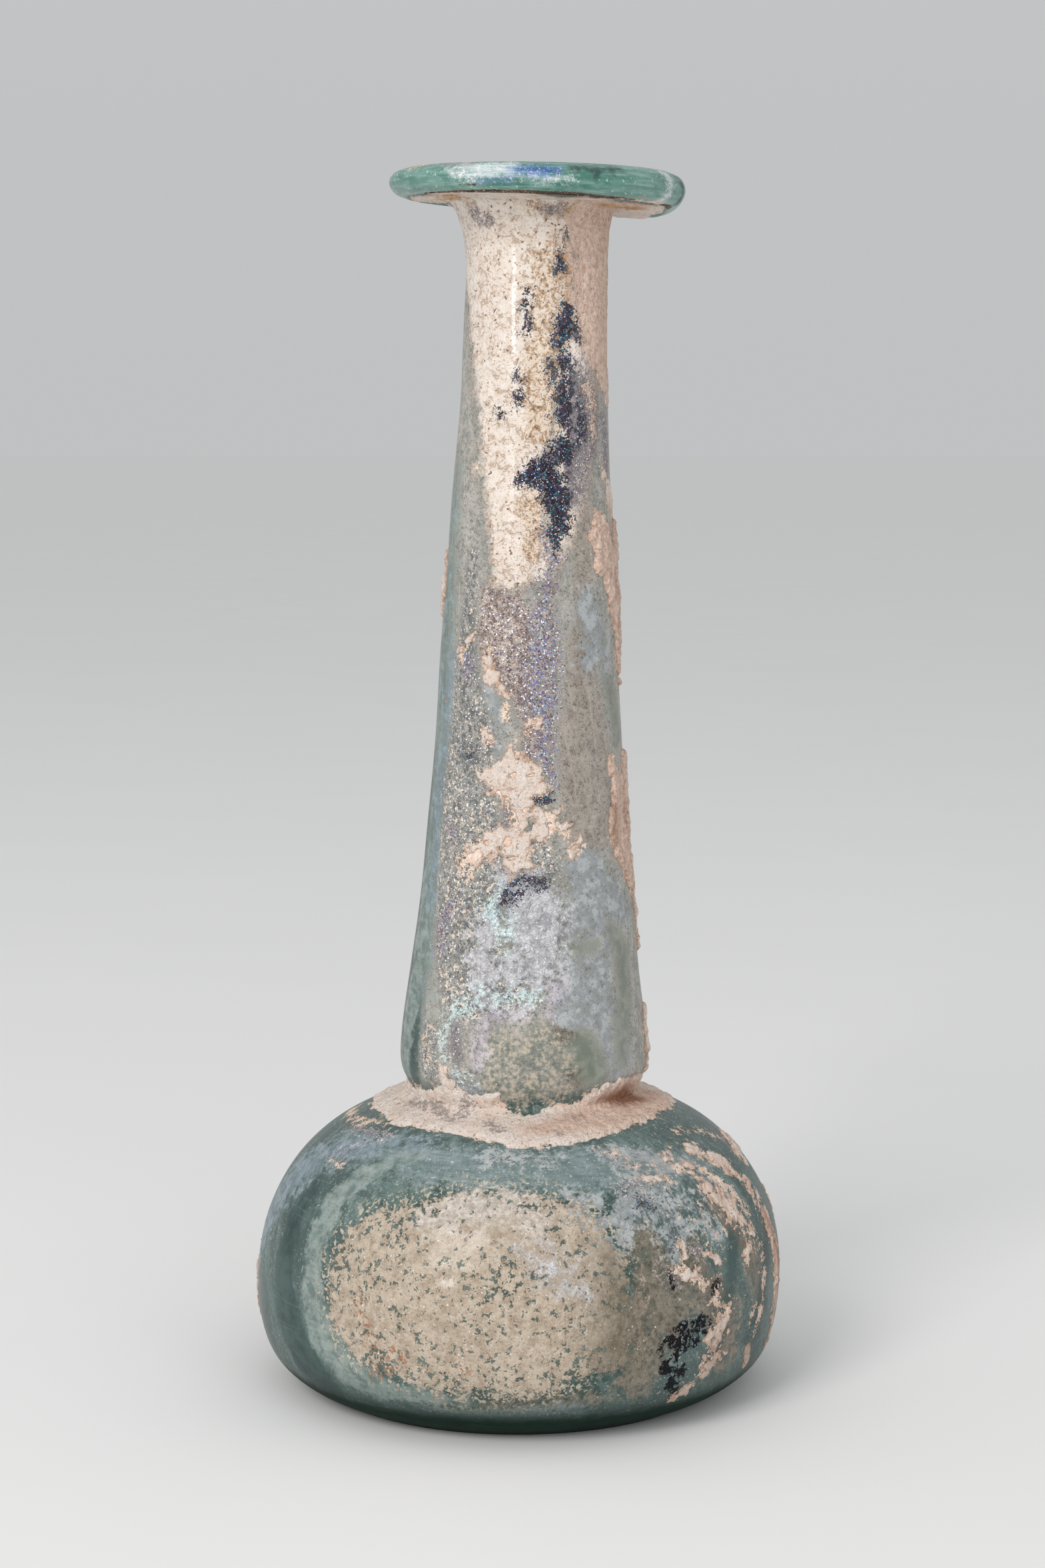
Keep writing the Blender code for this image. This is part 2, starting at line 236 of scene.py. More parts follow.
# Skins on the glass, and places of painted shade and light, as strokes like the soil's
SKINS = {
    "clear": (
        ((-62, 28, 1.6), (-62, 18, 2.8), (-58, 12, 3.4), (-53, 8, 3.4), (-46, 4.6, 2.4)),
        ((-76, 12, 4), (-74, 6, 4)), ((66, 13, 1.6), (58, 9.6, 1.4)),
        ((-92, 88, 1), (-88, 78, 1.6), (-86, 66, 1.8), (-80, 54, 2.9), (-72, 46, 3.8), (-70, 41, 3.8)),
        ((12, 157.7, 0.4), (22, 157.6, 0.8), (34, 157.7, 0.4)),
        ((70, 20, 1.8), (62, 12, 1.8), (64, 5, 2.6)), ((54, 22, 1.6), (45, 9.5, 1.2)),
        ((110, 14, 8), (125, 26, 4)), ((-110, 14, 8), (-120, 26, 3)),
    ),
    # painted shade: a dark green ring round the bottom of the body, and a dark patch on the rim's right side
    "base": (
        ((-180, 1, 5.8), (0, 0.6, 7), (180, 1, 5.8)),
        ((70, 157.8, 0.7), (76, 156.6, 1.2), (80, 154.8, 1.3)),
    ),
    "veil": (
        (
            (-64, 32, 2.4), (-40, 32.6, 2.4), (-20, 32, 3.6), (0, 32, 3.6), (20, 31.8, 3.6),
            (34, 31.6, 3), (50, 31, 2.4), (62, 30, 1.6),
        ),
        ((-66, 30.6, 2.4), (-74, 27, 2.4)), ((-30, 3.8, 0.8), (-10, 4.2, 1), (12, 4.8, 1)),
    ),
    "verge": (
        (
            (-76, 114, 0.8), (-74, 100, 2), (-73, 88, 2.6), (-73, 76, 2.9), (-72, 66, 3.3),
            (-72, 56, 3.9), (-71, 46, 4.2), (-73, 40, 3.6),
        ),
    ),
    "murk": (
        ((29, 25, 2.4), (31, 20, 4.4), (30, 14, 4.6), (25, 8.6, 2.8)),
        ((38, 23, 2.4), (42, 18, 3), (48, 14, 3.4), (50, 9, 2.4)),
        ((52, 26, 1.8), (60, 20, 2.2), (64, 14, 2)), ((20, 46, 2.6), (24, 42.4, 2.6)),
        ((-16, 5.6, 1), (0, 5.8, 1.2), (16, 6.6, 1.2)),
    ),
    "scatter": (
        ((30, 31, 0.8), (40, 28.4, 1.8), (50, 24.6, 2.4), (44, 18.6, 2.4), (50, 12, 2.4), (46, 7, 1.5)),
        ((60, 27, 1.4), (66, 20, 1.2), (60, 12, 1.4)), ((38, 31.6, 0.8), (58, 33, 0.8)),
    ),
    "haze": (
        ((27, 33.2, 1.4), (33, 30.4, 3.2), (37, 26.4, 3.4), (36, 22.6, 1.8)),
        ((46, 27, 1.6), (50, 23, 1.2)), ((56, 27.6, 1), (60, 23.6, 1)), ((-10, 33.2, 1.4), (10, 32.8, 1.2)),
    ),
    "blue": (
        (
            (-34, 33.6, 0.8), (-46, 33.4, 1.4), (-66, 31.4, 3), (-76, 27.6, 3.8), (-82, 21, 3.4),
            (-86, 15, 2.2),
        ),
        ((-58, 92, 0.8), (-62, 80, 1.2), (-60, 70, 1.4), (-64, 62, 0.8)), ((-58, 66, 0.7), (-60, 62, 0.8)),
    ),
    "azure": (
        ((-12, 157.2, 0.2), (-6, 157.1, 0.8), (2, 157.1, 0.9), (8, 157.2, 0.5)),
        ((-23, 155.8, 0.25), (-10, 155.9, 0.3)),
    ),
    "frost": (
        ((-32, 157.2, 0.7), (-26, 157.2, 1.3), (-18, 157.2, 1.3), (-11, 157.5, 1)),
        ((-24, 156.3, 0.2), (0, 156.5, 0.25)), ((2, 156, 0.2), (12, 156.2, 0.3)),
        ((58, 158.8, 0.4), (61, 157.4, 0.7), (62, 155.8, 0.6), (60, 154, 0.7)),
    ),
    "green": (
        ((-180, 156.4, 3.6), (180, 156.4, 3.6)), ((-180, 163, 4), (180, 163, 4)),
    ),
    "seam": (
        ((-56, 153.4, 0.3), (-34, 153.7, 0.5), (-8, 153.9, 0.6), (16, 153.9, 0.6), (36, 153.6, 0.4)),
        ((-32, 155.2, 0.14), (-24, 155.2, 0.14)), ((30, 153.9, 0.3), (38, 153.8, 0.35), (48, 153.6, 0.3)),
        ((60, 153.4, 0.3), (76, 153.6, 0.5), (90, 153.2, 0.3)),
    ),
    "drab": (
        ((59, 88.4, 0.7), (66, 86.6, 1.2), (73, 82, 1.3)),
        ((50, 58.4, 0.9), (58, 55, 1.6), (58, 50, 1.3), (53, 46.5, 1.6), (52, 42.5, 1)),
        ((28, 44, 2.4), (38, 41, 1.6)), ((17, 57, 0.5), (26, 56.8, 0.75), (37, 56.5, 0.5)),
        ((17, 61.4, 0.4), (21, 62.4, 0.5)), ((130, 110, 5), (120, 80, 5)), ((-130, 90, 6), (-120, 60, 6)),
    ),
    "ochre": (
        ((12, 139, 2.4), (12, 131, 2.6), (4, 126, 2.6), (8, 120, 2.2)),
        ((52, 148, 1.6), (62, 148.4, 2), (74, 149, 1.6)), ((-44, 149.4, 0.8), (-62, 149.6, 0.9)),
        ((2, 110, 1.4), (2, 104, 1.2)), ((-6, 145.6, 1), (20, 145.8, 1.2)),
    ),
    "pink": (
        ((58, 146.4, 6), (64, 135.5, 6), (76, 124, 5), (100, 130, 8)), ((64, 106, 5), (84, 90, 4)),
        ((70, 78, 4), (72, 64, 4)), ((2, 35.2, 1.4), (24, 35.6, 3), (60, 36.4, 5), (84, 36, 4)),
        ((56, 30, 3), (80, 20, 6), (50, 8, 3)),
    ),
    "smear": (
        ((-58, 34.6, 0.3), (-80, 33.8, 0.5), (-100, 33.6, 0.6)), ((-56, 30.6, 0.15), (-64, 30.4, 0.1)),
        ((62, 33.6, 0.2), (72, 32.8, 0.4), (84, 31.2, 0.5), (92, 28.6, 0.4)),
        ((54, 30.4, 0.7), (60, 28, 0.8), (64, 24.6, 0.7)), ((36, 20.6, 0.5), (42, 19, 0.5)),
        ((50, 15, 0.4), (44, 10, 0.4)), ((66, 20, 0.3), (66, 16, 0.3), (62, 10, 0.4)),
        ((26, 33.6, 0.1), (34, 31.6, 0.3), (40, 31.4, 0.2)),
        ((-58, 152.4, 0.5), (-40, 152.6, 0.4), (-20, 152.8, 0.2)),
        ((34, 153, 0.3), (50, 153.2, 0.5), (64, 153.4, 0.5)), ((44, 124, 0.4), (52, 118, 0.4)),
        ((-86, 20, 0.2), (-86, 8, 0.3)), ((-48, 160, 0.5), (-60, 158.6, 0.5)),
    ),
    # painted reflection of a soft light on the left: a pale band down the body's left and along its bottom
    # front, and a strip low on the neck's left
    "painted_reflection_band": (
        (
            (-32, 32.8, 0.6), (-40, 31.8, 1.3), (-46, 29.8, 1.8), (-50, 27, 1.9), (-51, 22.5, 1.8),
            (-50, 17.8, 1.9), (-47, 12.3, 2.4), (-40, 8.6, 2.4), (-31, 6.6, 1.6), (-22, 6.6, 1),
            (-10, 6, 0.8),
        ),
        ((-76, 64, 1.2), (-72, 56, 2.1), (-71, 48, 2.3), (-73, 41, 2)),
    ),
    "taupe": (
        ((44, 112, 0.8), (40, 106, 1.8), (34, 96, 1.2), (36, 88, 2.8), (38, 80, 4.2), (40, 72, 4)),
        ((20, 23, 1.2), (24, 17, 2.9), (24, 11.6, 3.2), (19, 8.6, 1.8)), ((27, 24.4, 1.8), (30, 20.6, 2)),
    ),
    # painted shade: the right third of the deposit darker, olive-brown
    "painted_deposit_shade": (
        ((19, 23, 1), (23, 17, 3.6), (22, 10, 3.6)), ((30, 20, 2), (32, 12, 2)),
    ),
    "film": (
        ((40, 98, 1.8), (46, 94, 2.6), (40, 91, 1.4)), ((58, 92, 1.4), (58, 89, 0.9)),
        ((34, 65, 3.6), (38, 60, 4.6), (32, 54, 4.2), (26, 50, 3.4)), ((44, 49, 3), (48, 43, 3.2)),
        ((50, 63, 2.4), (64, 60, 1.6)), ((-24, 87, 1.8), (-20, 84, 1.2), (-24, 74, 1.4)),
        ((14, 28, 2.6), (21, 25, 2), (27, 28, 2)),
        ((30, 32.6, 1.4), (40, 32, 1.8), (52, 30.6, 1.4), (60, 26.4, 1.6)),
        ((-40, 38.4, 1.6), (-24, 39.6, 1.4)), ((150, 110, 5), (160, 70, 6), (150, 50, 5)),
        ((-140, 60, 6), (-130, 100, 5)), ((150, 24, 5), (200, 12, 6)),
        ((-40, 158.6, 0.9), (-28, 158.8, 0.9)),
    ),
    "deposit": (
        ((-27, 18.6, 10.2), (-12, 19.1, 12.4), (0, 19.2, 12.4), (9, 18, 8.8), (14, 16, 7.4)),
        ((170, 14, 9), (195, 20, 7)),
    ),
    "foot": (
        ((-12, 45.4, 2), (-8, 42.4, 3.6), (-4, 40, 3.2)), ((8, 46, 1.8), (10, 43, 3.4), (12, 40.4, 2.6)),
        ((-32, 45, 1.2), (-32, 42.6, 1.2)),
    ),
    "speckle": (
        (
            (-44, 104, 1), (-46, 98, 1.2), (-44, 90, 2), (-38, 82, 3.6), (-38, 74, 4.4), (-34, 65, 5),
            (-33, 58, 5.2), (-28, 52, 4.6), (-12, 52.4, 3.6),
        ),
        ((-6, 68, 3), (8, 66.6, 2.6)), ((-50, 46, 1.4), (-48, 41, 1.6)), ((-84, 16, 0.9), (-84, 8, 0.9)),
    ),
    "sparkle": (
        ((-8, 101.6, 1.6), (-22, 99, 2.6), (-16, 95, 4), (-14, 91.4, 3.4), (-2, 88, 2.2), (-3, 85.6, 1.2)),
        ((4, 84, 1.8), (2, 80.4, 1.4)),
    ),
    "silver": (
        ((-9, 64.4, 1.8), (0, 62.6, 3.2), (6, 59.6, 3.8), (6, 55, 2.8), (-6, 54, 2.2)),
        ((-20, 61, 1), (-22, 55, 1.6), (-18, 50.6, 1.2)), ((-1, 24, -0.4), (6, 22.2, 0), (13, 18.8, -0.2)),
        ((2, 21.6, -0.5), (9, 19.4, -0.4)), ((5, 24.6, -0.5), (12, 21.8, -0.4)),
    ),
    # painted light: the deposit's top painted paler, where the light falls on it
    "painted_sheen": (
        ((-22, 27, 1.6), (-10, 28.4, 2.6), (2, 28.6, 2), (6, 25, 1.2)),
    ),
    "mauve": (
        ((-17, 48.6, 1), (-8, 49, 0.9), (2, 49.4, 0.7)),
        ((-18, 47.6, 0.9), (-21, 45, 0.9), (-21, 42.4, 0.7)),
        ((-56, 33, 0.2), (-60, 31.6, 0.4), (-66, 30.6, 0.3)), ((16, 52, 1.2), (12, 49.6, 1)),
    ),
    "pearl": (
        ((-15, 63.4, 0.9), (-18, 61.6, 1.3), (-15, 60.2, 0.9)),
        ((-11, 62.6, 0.4), (-9, 59.6, 0.6), (-12, 56.6, 0.5)),
        ((-21, 51.4, 0.4), (-12, 50.8, 0.7), (-2, 51.3, 0.9), (6, 50.8, 0.4)),
        ((-24, 50, 0.5), (-33, 49, 0.9), (-38, 47.4, 0.7), (-40, 44.6, 0.5), (-38, 42.4, 0.4)),
        ((-34, 41.4, 0.6), (-28, 40.6, 0.6)),
    ),
    "cream": (
        (
            (-30, 148, 8.6), (-36, 143, 8.8), (-24, 136, 7), (-17, 128, 5.9), (-15, 121, 5.2),
            (-18, 115, 3.8), (-11, 109, 3.6), (-10, 104.4, 3.3), (-14, 102.4, 2.4),
        ),
        (
            (30, 147, 4.4), (34, 138, 3.4), (30, 130, 3), (32, 122, 3.2), (30, 115, 2.8), (20, 108, 2),
            (8, 102, 1.6),
        ),
        ((160, 132, 7), (170, 120, 4)), ((-46, 114.6, 0.5), (-42, 113.8, 0.4)),
    ),
    "stain": (
        ((36, 127, 0.9), (38, 124.6, 1.7), (42, 121.6, 2.2), (44, 118.4, 2.2), (40, 115.6, 1.8)),
        ((32, 126, 1.6), (34, 121.6, 2.3), (36, 117.6, 2.4), (32, 113.4, 2.2), (28, 110.4, 1.6)),
        ((13, 35, 0.5), (14, 34.8, 0.5)), ((30, 134, 0.6), (33, 131.6, 0.8), (37, 129, 0.5)),
        ((24, 142, 0.4), (32, 139.6, 0.8)), ((66, 120.4, 1), (70, 117, 1.4), (70, 113.6, 0.8)),
        ((42, 127, 0.9), (48, 124, 0.6)), ((30, 140.6, 0.6), (33, 133.6, 0.6)),
        ((-52, 144.8, 0.7), (-38, 143.8, 0.5)), ((8, 145.8, 0.5), (14, 146, 0.9), (22, 145.6, 0.6)),
        ((-33, 47, 0.8), (-33, 44.4, 1), (-31, 42.8, 0.6)), ((32, 20.6, 0.5), (35, 19.4, 0.5)),
        ((41, 22.4, 0.5), (46, 21.2, 0.5)), ((26, 29.8, 0.5), (32, 30, 0.5)),
        ((-5, 87.4, 0.7), (1, 85.8, 0.9), (6, 84.6, 0.4)),
        ((-64, 36.2, 1.2), (-46, 36.6, 1.3), (-30, 35.6, 0.9), (-28, 38.2, 1)),
        ((-14, 35.6, 1), (-8, 35.2, 0.9)), ((20, 35.8, 0.5), (28, 36, 0.5)),
        ((-12, 73.8, 0.9), (-11, 71.8, 0.9)), ((-52, 33.8, 0.7), (-72, 33.4, 0.3)),
    ),
    "violet": (
        (
            (13, 107, 1.1), (14, 103, 1.2), (9, 99, 1.3), (9, 95, 1.9), (9, 91, 2.2), (8, 87, 2.2),
            (10, 83, 1.3), (11, 79.4, 1.2), (14, 77, 0.8),
        ),
        ((-45, 91.4, 1), (-40, 89.6, 0.7)), ((-50, 70.6, 0.8), (-44, 69.8, 0.7)),
        ((-40, 62, 0.8), (-48, 60, 0.9), (-50, 56, 0.7)),
    ),
    "dark": (
        ((27, 142.6, 0.6), (31, 141, 0.9), (32, 139, 0.5)), ((20, 139.6, 0.5), (22, 138.2, 0.8)),
        ((28, 134.6, 0.7), (27, 132.8, 1.3), (23, 130.8, 1.2), (20, 129.4, 0.8)),
        ((31, 131.8, 0.7), (34, 130, 0.6)), ((22, 128, 0.6), (24, 127, 1), (29, 126.4, 0.6)),
        ((25, 125.4, 0.7), (23, 123, 1.1), (21, 120.8, 1.1), (25, 119.8, 0.7)),
        ((36, 122.6, 0.4), (39, 119.6, 0.6), (35, 117, 0.5)),
        (
            (22, 117.6, 1.1), (20, 116, 1.5), (12, 115, 1.3), (4, 114.2, 1.5), (-3, 113.4, 1.2),
            (-9, 112.8, 0.6),
        ),
        ((12, 113.4, 1.7), (17, 111, 1.7), (19, 108.6, 1.4), (18, 106.6, 1), (16, 105, 0.5)),
        ((-7, 135.6, 0.35), (-7, 130.6, 0.35)), ((-13, 125.8, 0.4), (-11, 125.2, 0.35)),
        ((-12, 123.4, 0.35), (-12, 121.8, 0.35)), ((-28, 121.4, 0.35), (-26, 120.8, 0.3)),
        ((10, 127, 0.3), (15, 125.4, 0.35), (11, 124.8, 0.2)), ((6, 74.6, 0.7), (11, 75, 0.7)),
        ((1, 71.6, 0.4), (4, 71, 0.3), (1, 69.8, 0.3)),
        ((-8, 64.4, 0.3), (-2, 65, 0.6), (6, 64.6, 0.7), (11, 64.6, 0.4)),
        ((-11, 62.2, 0.6), (-8, 62.8, 0.7), (-4, 63.4, 0.3)), ((-42, 79.6, 0.2), (-36, 79.6, 0.35)),
        ((30, 28.2, 0.5), (33, 27.6, 0.3)), ((12, 35.1, 0.2), (14, 35, 0.2)),
    ),
    "pitch": (
        ((43, 13.2, 0.9), (38, 12.8, 1.6), (33, 11.8, 1.7), (34, 9.6, 1.6), (35, 7.6, 1.1), (35, 6, 0.8)),
        ((46, 18, 0.4), (44, 17, 0.3)), ((33, 20.6, 0.2), (33, 18.8, 0.3)),
    ),
    "rust": (
        ((-36, 18, 0.8), (-32, 12, 1.2), (-24, 11, 1), (-32, 8, 1)),
        ((42, 38, 0.8), (50, 37.8, 1.6), (58, 37.4, 2.4), (66, 36.6, 2), (74, 36, 1)),
        ((73, 24, 0.6), (78, 16, 0.8), (79, 9, 0.6)), ((-14, 10.4, 0.6), (-10, 10.2, 0.5)),
        ((60, 73, 0.7), (58, 69, 0.8)), ((6, 56, 0.2), (5, 55.6, 0.2)),
    ),
}
FIELD_REACH = 5.0  # how far from its edge a skin's field still rises or falls

# Some of these layers, or their specks, are painted shade, light or glints, as said at their rows.
# Layers of the glass's finish. First the pattern and the two colours it passes between, which are in the
# steps of a screen or the name of a setting. Then specks: a pattern, the two levels it rises between, a
# colour and a share. Last how the layer is laid: its share, how far the patterns edge and dust push its
# edge about, the levels of its skin's field that it passes between, and its finish.
LAYERS = {
    "neck": (
        ("middle", (144, 144, 137), (176, 172, 165)),
        ("streak", 0.56, 0.64, (180, 176, 168), 0.5),
        ("pepper", 0.47, 0.41, (100, 97, 94), 0.75),
        ("pepper", 0.55, 0.62, (204, 198, 190), 0.7),
        dict(rough=0.38, cover=0.98),
    ),
    "murk": (
        ("middle_small", (95, 90, 79), (138, 129, 115)),
        ("pepper", 0.46, 0.40, (62, 60, 54), 0.7),
        ("pepper", 0.55, 0.62, (146, 136, 126), 0.6),
        dict(share=0.92, edge=1.0, dust=0.4, low=-1.0, high=1.2, rough=0.38, cover=0.96),
    ),
    "veil": (
        ("middle_brush", (106, 123, 122), (136, 150, 151)),
        ("pepper", 0.55, 0.63, (168, 178, 177), 0.6),
        ("pepper", 0.46, 0.40, (86, 102, 102), 0.6),
        ("pits", 0.66, 0.69, (196, 196, 190), 0.7),
        dict(share=0.9, edge=1.2, dust=0.4, low=-1.6, high=1.6, rough=0.34, cover=0.97),
    ),
    "verge": (
        ("middle_streak", (96, 114, 113), (140, 151, 146)),
        ("broad", 0.54, 0.62, (134, 148, 138), 0.6),
        ("middle", 0.56, 0.60, (146, 162, 165), 0.6),
        ("pepper", 0.55, 0.63, (168, 178, 178), 0.6),
        ("pepper", 0.46, 0.40, (76, 92, 92), 0.5),
        dict(share=0.95, edge=1.6, dust=1.0, low=-1.4, high=1.2, rough=0.3, cover=0.97),
    ),
    "green": (
        ("brush_middle", (76, 121, 109), (114, 154, 143)),
        ("brush", 0.55, 0.68, (136, 168, 160), 0.5),
        ("pepper", 0.58, 0.66, (150, 176, 168), 0.35),
        ("pits", 0.66, 0.69, (196, 212, 206), 0.6),
        dict(edge=0.2, low=-0.4, high=0.6, rough=0.2, cover=0.92),
    ),
    "clear": (
        ("broad_middle", (28, 52, 50), (57, 81, 78)),
        ("brush", 0.55, 0.68, (92, 114, 111), 0.4),
        dict(share=0.9, edge=0.8, low=-0.7, high=1.0, rough=0.24, cover=0.96),
    ),
    # painted shade, very dark green
    "base": (
        ("broad_middle", (8, 28, 20), (26, 50, 40)),
        ("brush", 0.56, 0.68, (60, 84, 74), 0.4),
        dict(edge=0.5, low=-0.8, high=2.6, rough=0.6, cover=1.0),
    ),
    "frost": (
        ("brush", (160, 182, 182), (214, 218, 220)),
        ("pepper", 0.52, 0.58, (240, 234, 234), 0.85),
        dict(share=0.9, dust=0.6, low=-0.8, high=0.7, rough=0.3, cover=0.97),
    ),
    "azure": (
        ("brush", (56, 90, 142), (108, 140, 196)),
        ("pepper", 0.55, 0.61, (204, 206, 236), 0.8),
        ("cell_hue", 0.86, 0.90, (92, 98, 196), 0.7),
        dict(share=0.85, dust=0.5, low=-0.6, high=0.9, rough=0.28, cover=0.97),
    ),
    # painted reflection, pale grey-teal, with brown specks
    "painted_reflection_band": (
        ("little_brush", (112, 128, 123), (152, 164, 159)),
        ("middle", 0.46, 0.40, (92, 110, 108), 0.5),
        ("pepper", 0.56, 0.66, (170, 178, 172), 0.5),
        ("pepper", 0.45, 0.39, (84, 100, 98), 0.4),
        ("pits", 0.66, 0.70, (112, 84, 64), 0.8),
        dict(share=0.85, edge=0.45, low=-0.5, high=0.5, cover=0.96),
    ),
    "drab": (
        ("middle", (118, 124, 113), (142, 147, 135)),
        ("pepper", 0.58, 0.68, (166, 169, 160), 0.5),
        dict(edge=1.0, low=-1.0, high=1.0, rough=0.36, cover=0.94),
    ),
    "taupe": (
        ("middle", (146, 137, 127), "taupe", 0.35, 0.65),
        ("pepper", 0.47, 0.41, (96, 90, 88), 0.8),
        ("streak", 0.56, 0.62, (176, 168, 158), 0.5),
        ("pepper", 0.55, 0.63, (198, 190, 181), 0.6),
        dict(share=0.94, edge=0.9, low=-0.5, high=0.6, rough=0.38, cover=0.95),
    ),
    "blue": (
        ("middle", (102, 120, 127), (139, 153, 160)),
        ("brush", 0.55, 0.66, (156, 172, 180), 0.4),
        ("pepper", 0.56, 0.64, (174, 184, 190), 0.6),
        ("pepper", 0.45, 0.39, (80, 96, 102), 0.6),
        dict(share=0.9, edge=1.6, dust=0.5, low=-1.4, high=1.4, rough=0.34, cover=0.97),
    ),
    "film": (
        ("middle", (142, 146, 147), "film", 0.4, 0.6),
        ("middle", 0.54, 0.58, (186, 190, 191), 0.5),
        ("crumbs", 0.55, 0.63, (184, 188, 189), 0.4),
        ("pepper", 0.46, 0.40, (100, 107, 108), 0.6),
        dict(share=0.95, edge=1.0, dust=0.3, low=-0.5, high=0.7, rough=0.4, cover=0.96),
    ),
    "deposit": (
        ("middle", (174, 157, 138), "deposit", 0.38, 0.62),
        ("pepper", 0.55, 0.63, (214, 200, 182), 0.6),
        ("pepper", 0.46, 0.39, (138, 123, 108), 0.6),
        # painted glints: near-white specks on a few cells
        ("cell", 0.992, 0.996, (246, 244, 240), 0.7),
        dict(rough=0.45, cover=0.97, coat=0.35, relief="low_lumps"),
    ),
    # painted shade on the deposit's right third
    "painted_deposit_shade": (
        ("even_small", (86, 80, 65), (126, 117, 101)),
        ("pepper", 0.55, 0.61, (150, 139, 122), 0.6),
        dict(share=0.9),
    ),
    "foot": (
        ("middle", (124, 129, 121), (156, 153, 143)),
        ("pepper", 0.55, 0.63, (168, 162, 152), 0.6),
        ("blobs", 0.49, 0.61, (202, 184, 163), 0.65),
        ("small", 0.45, 0.40, (104, 108, 104), 0.6),
        ("pepper", 0.44, 0.38, (96, 100, 94), 0.5),
        dict(share=0.92, edge=0.7, dust=0.7, low=-0.9, high=0.9, rough=0.42),
    ),
    # painted light on the deposit's top
    "painted_sheen": (
        ("crumbs", (176, 168, 160), (230, 222, 215)),
        dict(share=0.6, edge=1.2, dust=0.5, low=-1.4, high=1.8),
    ),
    "haze": (
        ("middle", (122, 130, 131), (172, 178, 178)),
        ("small", 0.45, 0.39, (88, 94, 98), 0.8),
        ("pepper", 0.47, 0.41, (74, 78, 88), 0.8),
        ("pepper", 0.55, 0.62, (192, 196, 196), 0.7),
        ("crumbs", 0.61, 0.64, (222, 200, 184), 0.9),
        dict(share=0.92, edge=1.0, dust=0.5, low=-0.5, high=0.9, rough=0.38, cover=0.96),
    ),
    "speckle": (
        ("middle", (132, 132, 126), (162, 160, 153)),
        ("pepper", 0.48, 0.42, (88, 88, 88), 0.8),
        ("pepper", 0.53, 0.60, (188, 182, 174), 0.7),
        ("fewer_small", 0.45, 0.40, (92, 92, 94), 0.6),
        ("fewer_crumbs", 0.55, 0.59, (230, 210, 192), 0.9),
        ("cell_hue", 0.9, 0.93, (110, 124, 150), 0.6),
        ("cell_third", 0.88, 0.92, (76, 74, 80), 0.75),
        # painted glints: near-white specks on a few cells
        ("cell", 0.965, 0.98, (240, 238, 238), 1.0),
        dict(share=0.95, dust=0.8, rough=0.38, cover=0.97, coat=0.2, relief="dome"),
    ),
    "sparkle": (
        ("middle", (142, 124, 116), (186, 170, 159)),
        ("pepper", 0.49, 0.43, (98, 80, 80), 0.85),
        ("cell_hue", 0.76, 0.81, (82, 66, 72), 0.9),
        ("pepper", 0.55, 0.62, (220, 212, 206), 0.7),
        # painted glints: near-white specks on a few cells
        ("cell", 0.95, 0.97, (248, 246, 248), 1.0),
        ("cell", 0.03, 0.01, (150, 160, 206), 0.8),
        dict(share=0.92, dust=1.0, rough=0.32, metal=0.08, cover=0.97, coat=0.3, relief="dome"),
    ),
    "silver": (
        ("little_small", (164, 165, 170), (212, 210, 214)),
        ("small", 0.55, 0.61, (226, 224, 228), 0.5),
        ("pepper", 0.44, 0.38, (130, 127, 130), 0.4),
        # painted glints: near-white specks on a few cells
        ("cell", 0.965, 0.98, (250, 248, 250), 0.9),
        dict(share=0.92, edge=1.0, dust=0.8, low=-1.4, high=1.0, rough=0.26, coat=0.6, relief="wrinkles"),
    ),
    "mauve": (
        ("middle", (164, 156, 166), (206, 196, 202)),
        ("pepper", 0.46, 0.40, (96, 90, 108), 0.6),
        ("cell", 0.9, 0.93, (196, 200, 226), 0.9),
        dict(share=0.75, dust=1.4, low=-0.6, high=0.9, rough=0.3),
    ),
    "pearl": (
        ("rainbow",),
        ("pepper", 0.47, 0.41, (118, 118, 120), 0.8),
        ("small", 0.53, 0.59, (224, 240, 236), 0.75),
        # painted glints: near-white specks on a few cells
        ("cell", 0.93, 0.95, (250, 252, 250), 1.0),
        dict(share=0.9, dust=2.2, low=-0.2, high=0.9, rough=0.25, coat=0.5, relief="dome"),
    ),
    "stain": (
        ("fine", (88, 84, 94), (144, 138, 144)),
        ("pepper", 0.53, 0.59, (206, 194, 186), 0.85),
        ("cell", 0.97, 0.98, (240, 236, 238), 1.0),
        dict(share=0.88, dust=1.6, low=-0.2, high=0.3, rough=0.5, cover=0.98),
    ),
    "violet": (
        ("pepper", (112, 100, 99), (184, 171, 161)),
        ("cell_hue", 0.79, 0.83, (100, 102, 176), 0.8),
        ("cell_hue", 0.08, 0.05, (120, 176, 196), 0.8),
        ("cell_third", 0.84, 0.88, (72, 58, 68), 0.9),
        # painted glints: near-white specks on a few cells
        ("cell", 0.94, 0.96, (236, 234, 242), 1.0),
        dict(share=0.92, dust=1.6, low=-0.2, high=0.5, rough=0.3, metal=0.1, relief="dome"),
    ),
    "dark": (
        ("small", (30, 26, 34), (74, 66, 76)),
        ("crumbs", 0.59, 0.62, (150, 138, 140), 0.7),
        ("cell_hue", 0.90, 0.93, (58, 64, 124), 0.7),
        ("cell_hue", 0.09, 0.07, (48, 146, 164), 0.8),
        # painted glints: near-white specks on a few cells
        ("cell", 0.965, 0.975, (212, 204, 214), 1.0),
        dict(dust=1.15, low=-0.2, high=0.1, rough=0.34, metal=0.1, cover=1.0, relief="dome"),
    ),
    "pitch": (
        ("fine", (8, 8, 12), (34, 32, 36)),
        ("small", 0.60, 0.63, (130, 156, 162), 0.8),
        dict(edge=0.9, low=-0.3, high=0.1, rough=0.4, cover=1.0, relief="dome"),
    ),
    "seam": (
        ("brush", (44, 32, 28), (104, 82, 70)),
